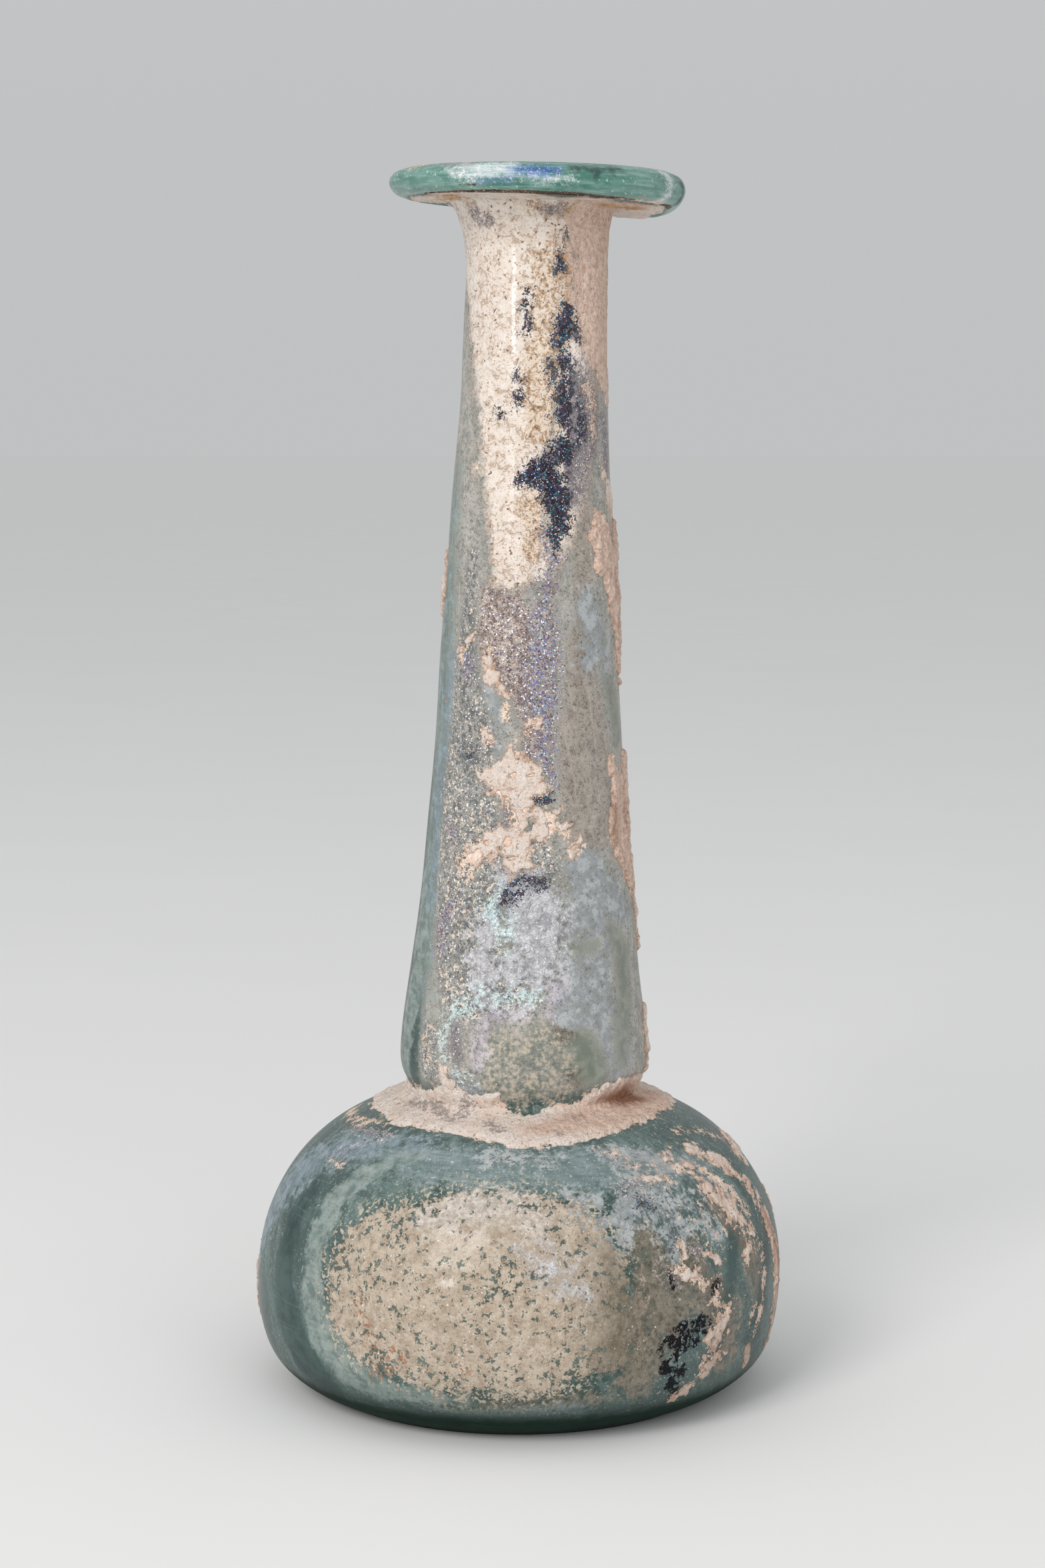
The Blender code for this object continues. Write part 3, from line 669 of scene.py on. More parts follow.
        ("pepper", 0.56, 0.60, (206, 184, 164), 0.8),
        dict(share=0.95, dust=0.2, low=-0.05, high=0.12, rough=0.8, cover=1.0, coat=0.0),
    ),
}


def linear(red, green, blue):
    """A colour given in the steps of a screen, 0 to 255, as linear light."""
    shares = [channel / 255 for channel in (red, green, blue)]
    return tuple(s / 12.92 if s <= 0.04045 else ((s + 0.055) / 1.055) ** 2.4 for s in shares)


def length_setting(name, description, default):
    return FloatProperty(
        name=name, description=description, subtype="DISTANCE", unit="LENGTH", default=default * MM
    )


def colour_setting(name, description, *default):
    default = linear(*default)
    return FloatVectorProperty(
        name=name, description=description, subtype="COLOR", size=3, min=0.0, max=1.0, default=default
    )


class FlaskSizes(bpy.types.PropertyGroup):
    """Sizes of the flask's glass and of what lies on it."""

    segments: IntProperty(name="Segments", description="Facets round the glass", default=216, min=48)
    lean: FloatProperty(
        name="Lean",
        description="How far the neck leans towards +X",
        subtype="ANGLE",
        unit="ROTATION",
        default=math.radians(0.93),
    )
    rim_thicker: FloatProperty(
        name="Rim thicker", description="Share by which the rim is thicker on the +X side", default=0.12
    )
    wobble: length_setting("Wobble", "How far the blown glass strays from round", 0.10)
    grain: length_setting("Grain", "Radius of the largest loose grain of soil", 0.17)
    flake: length_setting("Flake", "Radius of the largest flake of weathered glass", 0.11)


class FlaskColours(bpy.types.PropertyGroup):
    """Colours of the glass, its skins and the soil."""

    glass: colour_setting("Glass", "Tint of the clear glass", 78, 112, 102)
    teal: colour_setting("Teal", "Thin weathering over clear glass", 64, 84, 80)
    film: colour_setting("Film", "Blue-grey film", 158, 162, 165)
    taupe: colour_setting("Taupe", "Brown-grey film", 166, 157, 148)
    deposit: colour_setting("Deposit", "Beige deposit in the body", 197, 182, 164)
    cream: colour_setting("Cream", "Smooth skin on the neck", 240, 229, 219)
    soil: colour_setting("Soil", "Crusts of dried soil", 248, 230, 217)
    rust: colour_setting("Rust", "Iron stains", 168, 108, 72)


class FlaskSettings(bpy.types.PropertyGroup):
    """What a user may change before the flask is built."""

    sizes: PointerProperty(type=FlaskSizes)
    colours: PointerProperty(type=FlaskColours)


# Outline


def smooth_curve(stations):
    """Points along a rounded line through the stations, each joined to the next by a Bezier curve."""
    points = [Vector(station) for station in stations]
    tangents = []
    for i in range(len(points)):
        before = points[max(i - 1, 0)]
        after = points[min(i + 1, len(points) - 1)]
        tangents.append((after - before).normalized())
    curve = [points[0]]
    for i in range(len(points) - 1):
        reach = (points[i + 1] - points[i]).length / 3
        handle = points[i] + tangents[i] * reach
        next_handle = points[i + 1] - tangents[i + 1] * reach
        curve += interpolate_bezier(points[i], handle, next_handle, points[i + 1], CURVE_STEPS)[1:]
    return [point.to_2d() for point in curve]


def blend(low, high, value):
    """0 below low, 1 above high, and a smooth step between them."""
    share = np.clip((np.asarray(value, float) - low) / (high - low), 0.0, 1.0)
    return share * share * (3 - 2 * share)


def wall_at(height):
    """Thickness of the glass at a height of the outside, in millimetres."""
    wall = WALL_BODY + (WALL_BASE - WALL_BODY) * (1 - blend(*BASE_WALL_HEIGHTS, height))
    wall += (WALL_PINCH - WALL_BODY) * (1 - blend(0.0, PINCH_WALL_REACH, abs(height - PINCH_HEIGHT)))
    return float(wall + (WALL_NECK - WALL_BODY) * blend(PINCH_HEIGHT, 1.5 * PINCH_HEIGHT, height))


def inside_of(outside):
    """The inner line: the outside moved in by the wall, from the bore's top down to the base's middle."""
    inside = []
    for point, after in zip(outside, outside[1:]):
        if point.y > BORE_TOP:
            break
        along = (after - point).normalized()
        moved = point + Vector((-along.y, along.x)) * wall_at(point.y)
        # Inside a tight corner the moved line would loop back over itself, so those points are left out.
        if not inside or (moved - inside[-1]).dot(along) > 0:
            inside.append(moved)
    inside[0].x = 0.0
    return inside[::-1]


def runs_along(line):
    """How far along a line each of its points lies."""
    return np.concatenate([[0.0], np.cumsum(np.hypot(*np.diff(line, axis=0).T))])


def spaced(points, spacing):
    """The same line with its points about this far apart, ends kept."""
    line = np.array([tuple(point) for point in points])
    run = runs_along(line)
    at = np.linspace(0.0, run[-1], max(2, round(run[-1] / spacing) + 1))
    return np.stack([np.interp(at, run, line[:, 0]), np.interp(at, run, line[:, 1])], axis=1)


class Outline:
    """The cut through the glass: its points, how far along the skin each lies, and which are inside."""

    def __init__(self):
        hollow = smooth_curve(BASE_HOLLOW)
        body = smooth_curve(BODY_AND_NECK)
        stretches = (  # each with how far apart its points lie
            (hollow, 1.2),
            ((hollow[-1], body[0]), 0.8),
            (body, 0.62),
            (smooth_curve(RIM_UNDERSIDE), 0.45),
            (FOLD_SEAM, 0.3),
            (smooth_curve(RIM_EDGE), 0.3),
            (smooth_curve(MOUTH), 0.5),
        )
        lines = [spaced(line, spacing) for line, spacing in stretches]
        self.skin = np.concatenate([lines[0]] + [line[1:] for line in lines[1:]])
        self.skin_runs = runs_along(self.skin)
        neck_end = int(np.argmax(self.skin[:, 1] > NECK_END))
        body_start = int(np.argmin(np.hypot(*(self.skin - BODY_AND_NECK[0]).T)))
        self.heights = self.skin[body_start:neck_end, 1]
        self.runs = self.skin_runs[body_start:neck_end]
        inner = spaced(inside_of(hollow + body), INSIDE_SPACING)
        self.points = np.concatenate([self.skin, inner])
        self.runs_of_points = np.concatenate([self.skin_runs, self.run_at(inner[:, 1])])
        self.is_inside = np.concatenate([np.zeros(len(self.skin)), np.ones(len(inner))])

    def run_at(self, height):
        """How far along the skin a height lies."""
        height = np.asarray(height, float)
        return np.interp(height, self.heights, self.runs) + np.maximum(height - NECK_END, 0.0)

    def spot_at(self, run):
        """Radius and height of the skin, this far along it."""
        return np.array([np.interp(run, self.skin_runs, column) for column in self.skin.T])


def settle(points, sizes):
    """Moves points of the round flask, in millimetres, to where the glassblower's hand left them."""
    x, y, z = points.T
    radius = np.hypot(x, y)
    angle = np.arctan2(x, -y)
    ripple = sum(share * np.sin(waves * angle + turn * z + start) for share, waves, turn, start in RIPPLES)
    swell = ripple * sizes.wobble / MM / np.maximum(radius, RIPPLES_CORE)
    swell = 1 + swell * blend(*RIPPLES_START, z) * blend(*RIPPLES_END, z)
    x, y = x * swell, y * swell
    rim = blend(*RIM_JOIN, z)
    overhang = blend(NECK_TOP_RADIUS, 0.75 * RIM_RADIUS, radius)
    drop = (HEIGHT - z) * sizes.rim_thicker * np.sin(angle)
    turn = np.remainder(angle - SAG_ANGLE + math.pi, math.tau) - math.pi
    sag = SAG_DEPTH * np.exp(-((turn / SAG_SPREAD) ** 2)) * blend(0.0, RIM_THICKNESS, HEIGHT - z)
    moved_z = z - (drop + sag) * rim * overhang
    flare = FLARE_LEFT * blend(UNDERSIDE - FLARE_HEIGHT, UNDERSIDE, z) * (1 - overhang)
    x = x + flare * np.minimum(np.sin(angle), 0.0) * (radius > BORE_RADIUS + 0.5 * WALL_NECK)
    lean = math.tan(sizes.lean)
    return np.stack([x + (z - EQUATOR) * lean, y, moved_z - x * lean * rim], axis=1)


def skin_field(strokes, outline, azimuth, run, radius):
    """Millimetres inside the strokes' edge, and below 0 outside them."""
    best = np.full(len(azimuth), -FIELD_REACH)
    per_degree = np.radians(1.0) * radius
    for stroke in strokes:
        for (turn, height, half), (next_turn, next_height, next_half) in zip(stroke, stroke[1:]):
            start = outline.run_at(height)
            rise = outline.run_at(next_height) - start
            sweep = (next_turn - turn) * per_degree
            middle = (turn + next_turn) / 2
            away = np.remainder(azimuth - middle + 180.0, 360.0) - 180.0
            across = (away + middle - turn) * per_degree
            up = run - start
            share = np.clip((across * sweep + up * rise) / np.maximum(sweep**2 + rise**2, TINY), 0.0, 1.0)
            width = half + (next_half - half) * share
            depth = width - np.hypot(across - share * sweep, up - share * rise)
            best = np.maximum(best, depth)
    return np.minimum(best, FIELD_REACH)


def roughness_of(points, scale, octaves):
    """Fractal noise, about -1 to 1, at points in millimetres."""
    return np.array([noise.fractal(Vector(point) * scale, 1.0, 2.0, octaves) for point in points])


# Nodes


class Value:
    """One socket of a node tree. An expression on it adds the nodes that work it out."""

    def __init__(self, socket):
        self.socket = socket

    def math(self, operation, *values):
        values = dict(enumerate(values))
        return value_of(self.socket.id_data, "ShaderNodeMath", {"operation": operation}, values)

    def __add__(self, other):
        return self.math("ADD", self, other)

    __radd__ = __add__

    def __sub__(self, other):
        return self.math("SUBTRACT", self, other)

    def __rsub__(self, other):
        return self.math("SUBTRACT", other, self)

    def __mul__(self, other):
        return self.math("MULTIPLY", self, other)

    __rmul__ = __mul__

    def __truediv__(self, other):
        return self.math("DIVIDE", self, other)

    def __mod__(self, other):
        return self.math("FLOORED_MODULO", self, other)

    def __abs__(self):
        return self.math("ABSOLUTE", self)

    def step(self, low, high):
        """0 where this is below low, 1 above high, and a smooth step between. low may be the higher one."""
        settings = {"interpolation_type": "SMOOTHSTEP"}
        ends = {"Value": self, "From Min": min(low, high), "From Max": max(low, high)}
        ends |= {"To Min": float(low > high), "To Max": float(low < high)}
        return value_of(self.socket.id_data, "ShaderNodeMapRange", settings, ends)


def add_node(tree, kind, settings=(), values=()):
    """Adds a node, puts in its settings first, and then the values or links of its sockets."""
    node = tree.nodes.new(kind)
    for name, setting in dict(settings).items():
        setattr(node, name, setting)
    for key, value in dict(values).items():
        if isinstance(value, Value):
            tree.links.new(value.socket, node.inputs[key])
        else:
            node.inputs[key].default_value = value
    return node


def value_of(tree, kind, settings=(), values=(), output=0):
    """Adds a node and gives one of its outputs."""
    return Value(add_node(tree, kind, settings, values).outputs[output])


def is_colour(side):
    return isinstance(side, tuple) or (isinstance(side, Value) and side.socket.type == "RGBA")


def mixed(tree, factor, first, second):
    """first where the factor is 0 and second where it is 1, for two colours or two numbers."""
    if not is_colour(first) and not is_colour(second):
        return value_of(tree, "ShaderNodeMix", {"data_type": "FLOAT"}, {0: factor, 2: first, 3: second})
    first, second = ((*side, 1.0) if isinstance(side, tuple) else side for side in (first, second))
    return value_of(tree, "ShaderNodeMix", {"data_type": "RGBA"}, {0: factor, 6: first, 7: second}, 2)


class Surface:
    """Builds up a finish layer by layer: its colour, roughness, metal, coat, cover and relief."""

    def __init__(self, name, colours=None):
        self.colours = colours
        self.patterns = {}
        self.material = bpy.data.materials.new(name)
        self.material.use_nodes = True
        self.tree = self.material.node_tree
        self.tree.nodes.clear()
        spot = self.value("ShaderNodeTexCoord", output="Object")
        scale = {0: spot, "Scale": 1 / MM}
        self.spot = self.value("ShaderNodeVectorMath", {"operation": "SCALE"}, scale)  # in millimetres
        self.height = self.value("ShaderNodeSeparateXYZ", {}, {0: self.spot}, "Z")
        self.parts = {"colour": (0.5, 0.5, 0.5), "rough": 0.5, "metal": 0.0, "coat": 0.0, "cover": 1.0}
        self.relief = 0.0

    def value(self, kind, settings=(), values=(), output=0):
        return value_of(self.tree, kind, settings, values, output)

    def grain(self, size, detail=3.0, roughness=0.55, distortion=0.0, spot=None):
        """Soft noise from about 0.2 to 0.8, with lumps of this size in millimetres."""
        values = {"Vector": spot or self.spot, "Scale": 1 / size, "Detail": detail, "Roughness": roughness}
        return self.value("ShaderNodeTexNoise", {}, values | {"Distortion": distortion})

    def vector(self, operation, *values):
        return self.value("ShaderNodeVectorMath", {"operation": operation}, dict(enumerate(values)))

    def unrolled(self, squeeze, radius):
        """Where on the flask, as if it were a tube this wide. Noise that is read here is drawn out."""
        run = self.field("run")
        around = self.vector("NORMALIZE", self.vector("MULTIPLY", self.spot, (1.0, 1.0, 0.0)))
        turn = {"Vector": self.vector("MULTIPLY", around, (radius,) * 3), "Angle": run * TWIST}
        twisted = self.value("ShaderNodeVectorRotate", {"rotation_type": "Z_AXIS"}, turn)
        return self.vector("ADD", twisted, self.value("ShaderNodeCombineXYZ", {}, {"Z": run * squeeze}))

    def cells(self, size):
        """Three random numbers for each cell of this size, and how far a spot is from its cell's middle."""
        node = add_node(self.tree, "ShaderNodeTexVoronoi", {}, {"Vector": self.spot, "Scale": 1 / size})
        parts = add_node(self.tree, "ShaderNodeSeparateColor", {}, {0: Value(node.outputs["Color"])})
        return *(Value(output) for output in parts.outputs), Value(node.outputs["Distance"])

    def field(self, name):
        return self.value("ShaderNodeAttribute", {"attribute_name": name}, output="Fac")

    def blend(self, factor, first, second):
        return mixed(self.tree, factor, first, second)

    def hue(self, hue, saturation, value):
        return self.value("ShaderNodeCombineColor", {"mode": "HSV"}, {0: hue, 1: saturation, 2: value})

    def colour(self, given):
        """A colour that is given in the steps of a screen or as the name of a setting."""
        return tuple(getattr(self.colours, given)) if isinstance(given, str) else linear(*given)

    def tone(self, pattern, first, second, low=0.36, high=0.64):
        """Two colours that pass softly into each other."""
        return self.blend(pattern.step(low, high), self.colour(first), self.colour(second))

    def specks(self, under, *kinds):
        """Specks over a colour: a pattern's name, the two levels it rises between, a colour and a share."""
        for name, low, high, colour, share in kinds:
            under = self.blend(self.patterns[name].step(low, high) * share, under, linear(*colour))
        return under

    def lay(self, mask, relief=None, **parts):
        """Lays a skin over what is there, where the mask is 1."""
        for name, part in parts.items():
            self.parts[name] = self.blend(mask, self.parts[name], part)
        if relief is not None:
            self.relief = self.relief + mask * relief

    def bump(self, strength):
        values = {"Height": self.relief, "Strength": strength, "Distance": MM}
        return self.value("ShaderNodeBump", {}, values)

    def finish(self, shader):
        add_node(self.tree, "ShaderNodeOutputMaterial", {}, {"Surface": shader})
        return self.material


class Glass(Surface):
    """Teal glass that is see-through in its clear places, and is covered by films, crusts and glitter."""

    def __init__(self, colours):
        super().__init__("weathered_glass", colours)
        fine = self.grain(0.2, 2.0, 0.7)
        small = self.grain(0.55, 4.0, 0.65)
        middle = self.grain(1.7, 4.0, 0.62)
        broad = self.grain(7.0, 3.0)
        streak = self.grain(1.0, 4.0, 0.6, spot=self.unrolled(0.12, TUBE_RADIUS))
        brush = self.grain(0.45, 3.0, 0.6, spot=self.unrolled(1.0, BRUSH_RADIUS))
        crumbs = self.grain(0.6, 4.0, 0.66)
        cell, cell_hue, cell_third, distance = self.cells(0.16)
        fewer = self.height.step(72.0, 86.0)
        self.patterns = {
            "fine": fine,
            "small": small,
            "middle": middle,
            "broad": broad,
            "streak": streak,
            "brush": brush,
            "crumbs": crumbs,
            "blobs": self.grain(0.55, 2.0, 0.6),
            "pits": self.grain(0.45, 1.5),
            "pepper": fine * 0.5 + small * 0.5,
            "cell": cell,
            "cell_hue": cell_hue,
            "cell_third": cell_third,
            "middle_small": middle * 0.6 + small * 0.4,
            "even_small": middle * 0.5 + small * 0.5,
            "little_small": middle * 0.7 + small * 0.3,
            "middle_brush": middle * 0.5 + brush * 0.5,
            "brush_middle": brush * 0.6 + middle * 0.4,
            "little_brush": brush * 0.3 + middle * 0.7,
            "middle_streak": middle * 0.6 + streak * 0.4,
            "broad_middle": broad * 0.5 + middle * 0.5,
            "fewer_small": small - fewer * 0.05,
            "fewer_crumbs": crumbs - fewer * 0.06,
            "rainbow": self.hue(0.38 + cell_third * 0.26, 0.1 + cell_hue * 0.32, 0.5 + cell * 0.45),
            "low_lumps": small * 0.35,
            "dome": (1 - distance) * 0.05,
            "wrinkles": abs(self.grain(1.2, 3.0, 0.6, 0.8) - 0.5) * 2.0,
        }
        self.edge = (small - 0.5) * 2.6 + (middle - 0.5) * 5.5
        self.dust = (fine - 0.5) * 3.2 + (small - 0.5) * 4.0 + (middle - 0.5) * 2.5
        self.mottle = (middle * 0.5 + broad + streak * 0.3 - 0.90).step(-0.14, 0.14)
        self.relief = (small - 0.5) * 0.04 + (broad - 0.5) * 0.1
        self.ochre = (self.field("ochre") + self.edge).step(-1.0, 1.0)
        self.holes = self.holes_in_deposit()
        # Masks of layers that don't lie on a skin's strokes alone
        self.masks = {"neck": self.height.step(38.0, 40.5) * self.height.step(146.0, 143.0)}
        self.masks["deposit"] = self.deposit_mask()
        self.masks["painted_deposit_shade"] = self.masks["deposit"] * self.field("painted_deposit_shade").step(-4.6, 3.6)
        # What else thins a layer out
        self.within = {
            "murk": [1 - middle.step(0.43, 0.37) * 0.4],
            "taupe": [self.height.step(36.0, 42.0)],
            "film": [1 - middle.step(0.42, 0.38), 1 - self.place("drab", 1.0, 0.0, -1.2, 0.4) * 0.9],
            "painted_sheen": [1 - self.holes],
            "haze": [1 - middle.step(0.42, 0.36) * 0.7],
            "pitch": [(crumbs * 0.5 + middle * 0.5).step(0.46, 0.485)],
        }

    def place(self, name, edge=0.0, dust=0.0, low=-0.3, high=0.4):
        """1 on a skin's strokes and 0 off them, with an edge that the patterns edge and dust push about."""
        pushes = [pattern * share for pattern, share in ((self.edge, edge), (self.dust, dust)) if share]
        ragged = self.field(name) + sum(pushes[1:], pushes[0]) if pushes else self.field(name)
        return ragged.step(low, high)

    def holes_in_deposit(self):
        """Islands of clear glass in the deposit, fewer in its middle, where it is brown and under its painted
        sheen.
        """
        holes = self.grain(0.8, 4.0, 0.62) + (self.patterns["broad"] - 0.5) * 0.3
        holes = holes - self.field("deposit").step(5.0, 0.5) * 0.03
        closed = self.field("taupe").step(-3.0, 1.5) * 0.05 + self.field("painted_sheen").step(-3.5, 0.5) * 0.04
        return (holes + closed).step(0.435, 0.40)

    def deposit_mask(self):
        dusty = self.dust * self.field("murk").step(-3.0, 2.0) * 1.2
        depth = self.field("deposit") + self.edge * 0.9 + dusty
        return depth.step(-0.2, 0.3) * (1 - self.holes * 0.9)

    def lay_layers(self, *names):
        """Lays these rows of the table of layers, each over those before it."""
        for name in names:
            (pattern, *tones), *specks, laid = LAYERS[name]
            under = self.patterns[pattern]
            under = self.tone(under, *tones) if tones else under
            self.lay_layer(name, self.specks(under, *specks), **laid)

    def lay_layer(
        self, name, colour, share=1.0, edge=0.0, dust=0.0, low=-0.3, high=0.4, relief=None, **parts
    ):
        """Lays a colour and the other parts of a finish where a layer lies."""
        mask = self.masks.get(name) or self.place(name, edge, dust, low, high)
        for factor in self.within.get(name, ()):
            mask = mask * factor
        self.lay(mask if share == 1.0 else mask * share, self.patterns.get(relief), colour=colour, **parts)

    def lay_weathering(self):
        """Thin teal weathering over everything, mottled and streaked."""
        teal = self.specks(
            self.blend(self.mottle, tuple(self.colours.teal), linear(98, 116, 112)),
            ("streak", 0.54, 0.66, (116, 134, 131), 0.55),
            ("streak", 0.46, 0.36, (52, 72, 70), 0.4),
            ("brush", 0.56, 0.70, (112, 130, 127), 0.3),
            ("pepper", 0.54, 0.64, (146, 160, 157), 0.6),
            ("pepper", 0.46, 0.40, (50, 68, 66), 0.6),
            ("pits", 0.67, 0.70, (166, 176, 172), 0.7),
        )
        rough, cover = self.blend(self.mottle, 0.3, 0.42), self.blend(self.mottle, 0.94, 0.97)
        self.lay(1.0, colour=teal, rough=rough, cover=cover)

    def lay_border(self):
        """Pale grains round the edge of the deposit."""
        border = self.grain(0.5, 2.0).step(0.55, 0.59) * self.field("deposit").step(-3.2, -0.3)
        border = border * (1 - self.field("painted_deposit_shade").step(-3.0, 1.0) * 0.85)
        self.lay(border * 0.9, relief=0.1, colour=linear(194, 182, 162), rough=0.6, cover=0.97)

    def lay_rust(self):
        rust = self.place("rust", 0.4, 0.0, -0.4, 0.6) * self.grain(0.5, 3.0).step(0.54, 0.60)
        self.lay(rust * 0.9, colour=tuple(self.colours.rust))

    def lay_cream(self):
        """Smooth skin on the neck, with tan scratches, pits and an ochre stain, and pinker at the right."""
        small, middle, pits = (self.patterns[name] for name in ("small", "middle", "pits"))
        ochre = self.ochre
        wave = self.grain(1.8, 4.0, 0.6, 0.6)
        scratch = abs(wave - 0.5).step(0.026, 0.006) * middle.step(0.46, 0.53) * (0.6 + ochre * 0.4)
        pink = (self.field("pink") + self.edge * 0.8).step(-1.5, 2.0)
        bone = self.tone(middle, "cream", (230, 215, 202), 0.35, 0.65)
        bone = self.blend(pink * 0.9, bone, self.tone(small, (206, 176, 156), (226, 200, 182)))
        bone = self.blend(ochre * 0.45, bone, linear(216, 192, 164))
        bone = self.specks(
            self.blend(scratch * 0.8, bone, linear(190, 146, 106)),
            ("pits", 0.60, 0.66, (206, 168, 132), 0.65),
            ("pepper", 0.45, 0.38, (182, 148, 118), 0.6),
            ("pits", 0.69, 0.73, (92, 80, 84), 0.9),
        )
        bone = self.blend(ochre * small.step(0.49, 0.43) * 0.8, bone, linear(188, 148, 108))
        bone = self.blend(ochre * self.patterns["pepper"].step(0.45, 0.40) * 0.9, bone, linear(112, 90, 82))
        relief = small * 0.6 + middle * 0.6 - scratch * 0.3 - pits.step(0.66, 0.72) * 0.1
        cream = self.place("cream", 0.9, 0.0, -1.2, 0.5) * (1 - self.place("green", 0.2, 0.0, -0.4, 0.6))
        gloss = self.height.step(117.0, 126.0) * 0.4 + 0.12
        self.lay(cream * 0.98, relief, colour=bone, rough=0.36, cover=1.0, coat=gloss)

    def lay_soil(self):
        """Thin soil, which spreads a little past the thick crusts and lies in smears and islands."""
        small = self.patterns["small"]
        dirt = self.tone(small, "soil", (214, 184, 162), 0.35, 0.65)
        dirt = self.specks(dirt, ("pepper", 0.45, 0.38, (170, 134, 110), 0.6))
        dirt = self.blend(self.ochre * 0.8, dirt, self.tone(small, (176, 128, 78), (222, 176, 124)))
        islands = self.grain(1.1, 4.0, 0.66).step(0.61, 0.63) * self.field("scatter").step(-1.5, 1.0)
        for mask, relief in (
            (self.place("soil", 0.8, 0.8, 0.1, 0.5) * 0.92, 0.1),
            (self.place("smear", 0.35, 1.1, -0.05, 0.25) * 0.92, 0.08),
            (islands * 0.94, 0.1),
        ):
            self.lay(mask, relief, colour=dirt, rough=0.85, metal=0.0, coat=0.0, cover=1.0)

    def shader(self):
        """Mixes bare glass with the finish that was built up, by how much of the glass is covered."""
        bare = {"Base Color": (*self.colours.glass, 1.0), "Roughness": 0.08, "IOR": 1.5}
        bare["Transmission Weight"] = 1.0
        film = {"Base Color": self.parts["colour"], "Roughness": self.parts["rough"]}
        film |= {"Metallic": self.parts["metal"], "Coat Weight": self.parts["coat"]}
        film |= {"Coat Roughness": 0.1, "Specular IOR Level": 0.06}
        normal = {"Normal": self.bump(0.8)}
        bare, film = (self.value("ShaderNodeBsdfPrincipled", {}, values | normal) for values in (bare, film))
        return self.value("ShaderNodeMixShader", {}, {0: self.parts["cover"], 1: bare, 2: film})


def weathered_glass(colours):
    """The material of the glass, layer over layer."""
    glass = Glass(colours)
    glass.lay_weathering()
    glass.lay_layers("neck", "murk", "veil", "verge", "green", "clear", "base", "frost", "azure")
    glass.lay_layers("painted_reflection_band", "drab", "taupe", "blue", "film")
    glass.lay_border()
    glass.lay_layers("deposit", "painted_deposit_shade", "foot")
    glass.lay_rust()
    glass.lay_layers("painted_sheen", "haze", "speckle", "sparkle", "silver", "mauve", "pearl")
    glass.lay_cream()
    glass.lay_layers("stain", "violet", "dark", "pitch", "seam")
    glass.lay_soil()
    glass.lay(glass.height.step(9.4, 2.0) * 0.62, colour=linear(14, 38, 30))  # painted shade: darker towards the bottom
    inside_cover = glass.blend(glass.mottle, 0.15, 0.35)
    glass.lay(glass.field("inner"), cover=inside_cover, metal=0.0, coat=0.0)  # and cleaner inside
    return glass.finish(glass.shader())


def dried_soil(colours):
    """Matt, crumbly soil with pits and darker thin edges, purple stains and some iron."""
    soil = Surface("dried_soil", colours)
    field = soil.field
    fine = soil.grain(0.2, 3.0, 0.7)
    small = soil.grain(0.6, 4.0, 0.65)
    broad = soil.grain(3.5, 3.0)
    streak = soil.grain(0.6, 4.0, 0.62, spot=soil.unrolled(0.3, TUBE_RADIUS))
    pits = soil.grain(0.45, 1.5)
    pepper = fine * 0.45 + small * 0.4 + streak * 0.15
    soil.patterns = {"streak": streak, "pepper": pepper, "pits": pits}
    colour = soil.specks(
        soil.tone(broad, "soil", (252, 238, 228), 0.38, 0.62),
        ("streak", 0.46, 0.36, (228, 198, 178), 0.4),
        ("pepper", 0.46, 0.39, (206, 170, 142), 0.5),
        ("pepper", 0.55, 0.62, (250, 238, 228), 0.6),
        # dark pits: partly the soil's own orange-brown, partly painted shade in its dents
        ("pits", 0.69, 0.73, (176, 132, 104), 0.7),
    )
    pink = soil.specks(
        soil.tone(small, (218, 182, 162), (246, 216, 198)),
        ("pepper", 0.46, 0.40, (180, 140, 116), 0.5),
        ("pepper", 0.55, 0.62, (250, 228, 214), 0.6),
    )
    dust = (small - 0.5) * 6.0 + (fine - 0.5) * 5.0 + (streak - 0.5) * 2.0
    thin_edge = (field("depth") + (small - 0.5) * 1.6).step(0.5, 0.05) * 0.7
    ochre = (field("ochre") + (small - 0.5) * 5.0).step(-0.6, 0.8) * 0.8
    rust = (field("rust") + (small - 0.5) * 4.0).step(-0.6, 1.6) * 0.85
    for share, tone in (
        (thin_edge, soil.tone(fine, (196, 150, 118), (222, 184, 156))),
        (field("pink").step(-1.0, 1.5) * 0.8, pink),
        (ochre, soil.tone(small, (186, 136, 80), (226, 184, 132))),
        ((field("stain") + dust).step(0.2, 0.8) * 0.8, soil.tone(fine, (116, 108, 110), (184, 172, 166))),
        (rust, soil.tone(pepper, (110, 68, 44), "rust", 0.42, 0.58)),
        # painted shade: the soil darker towards the bottom
        (soil.height.step(18.0, 8.0) * 0.4, linear(150, 118, 98)),
    ):
        colour = soil.blend(share, colour, tone)
    soil.relief = small * 0.7 + fine * 0.3 + streak * 0.4 - pits.step(0.64, 0.72) * 0.2
    values = {"Base Color": colour, "Roughness": 0.92, "Specular IOR Level": 0.15, "Normal": soil.bump(1.0)}
    return soil.finish(soil.value("ShaderNodeBsdfPrincipled", {}, values))


def glinting_flake():
    """Thin flakes of weathered glass, each with its own hue."""
    flake = Surface("glinting_flake")
    first, second, third, _ = flake.cells(0.5)
    tint = flake.hue(first * 0.25 + 0.5, second * 0.4 + 0.08, third * 0.4 + 0.2)
    values = {"Base Color": tint, "Roughness": 0.22, "Metallic": 0.6}
    return flake.finish(flake.value("ShaderNodeBsdfPrincipled", {}, values))


# Geometry Nodes


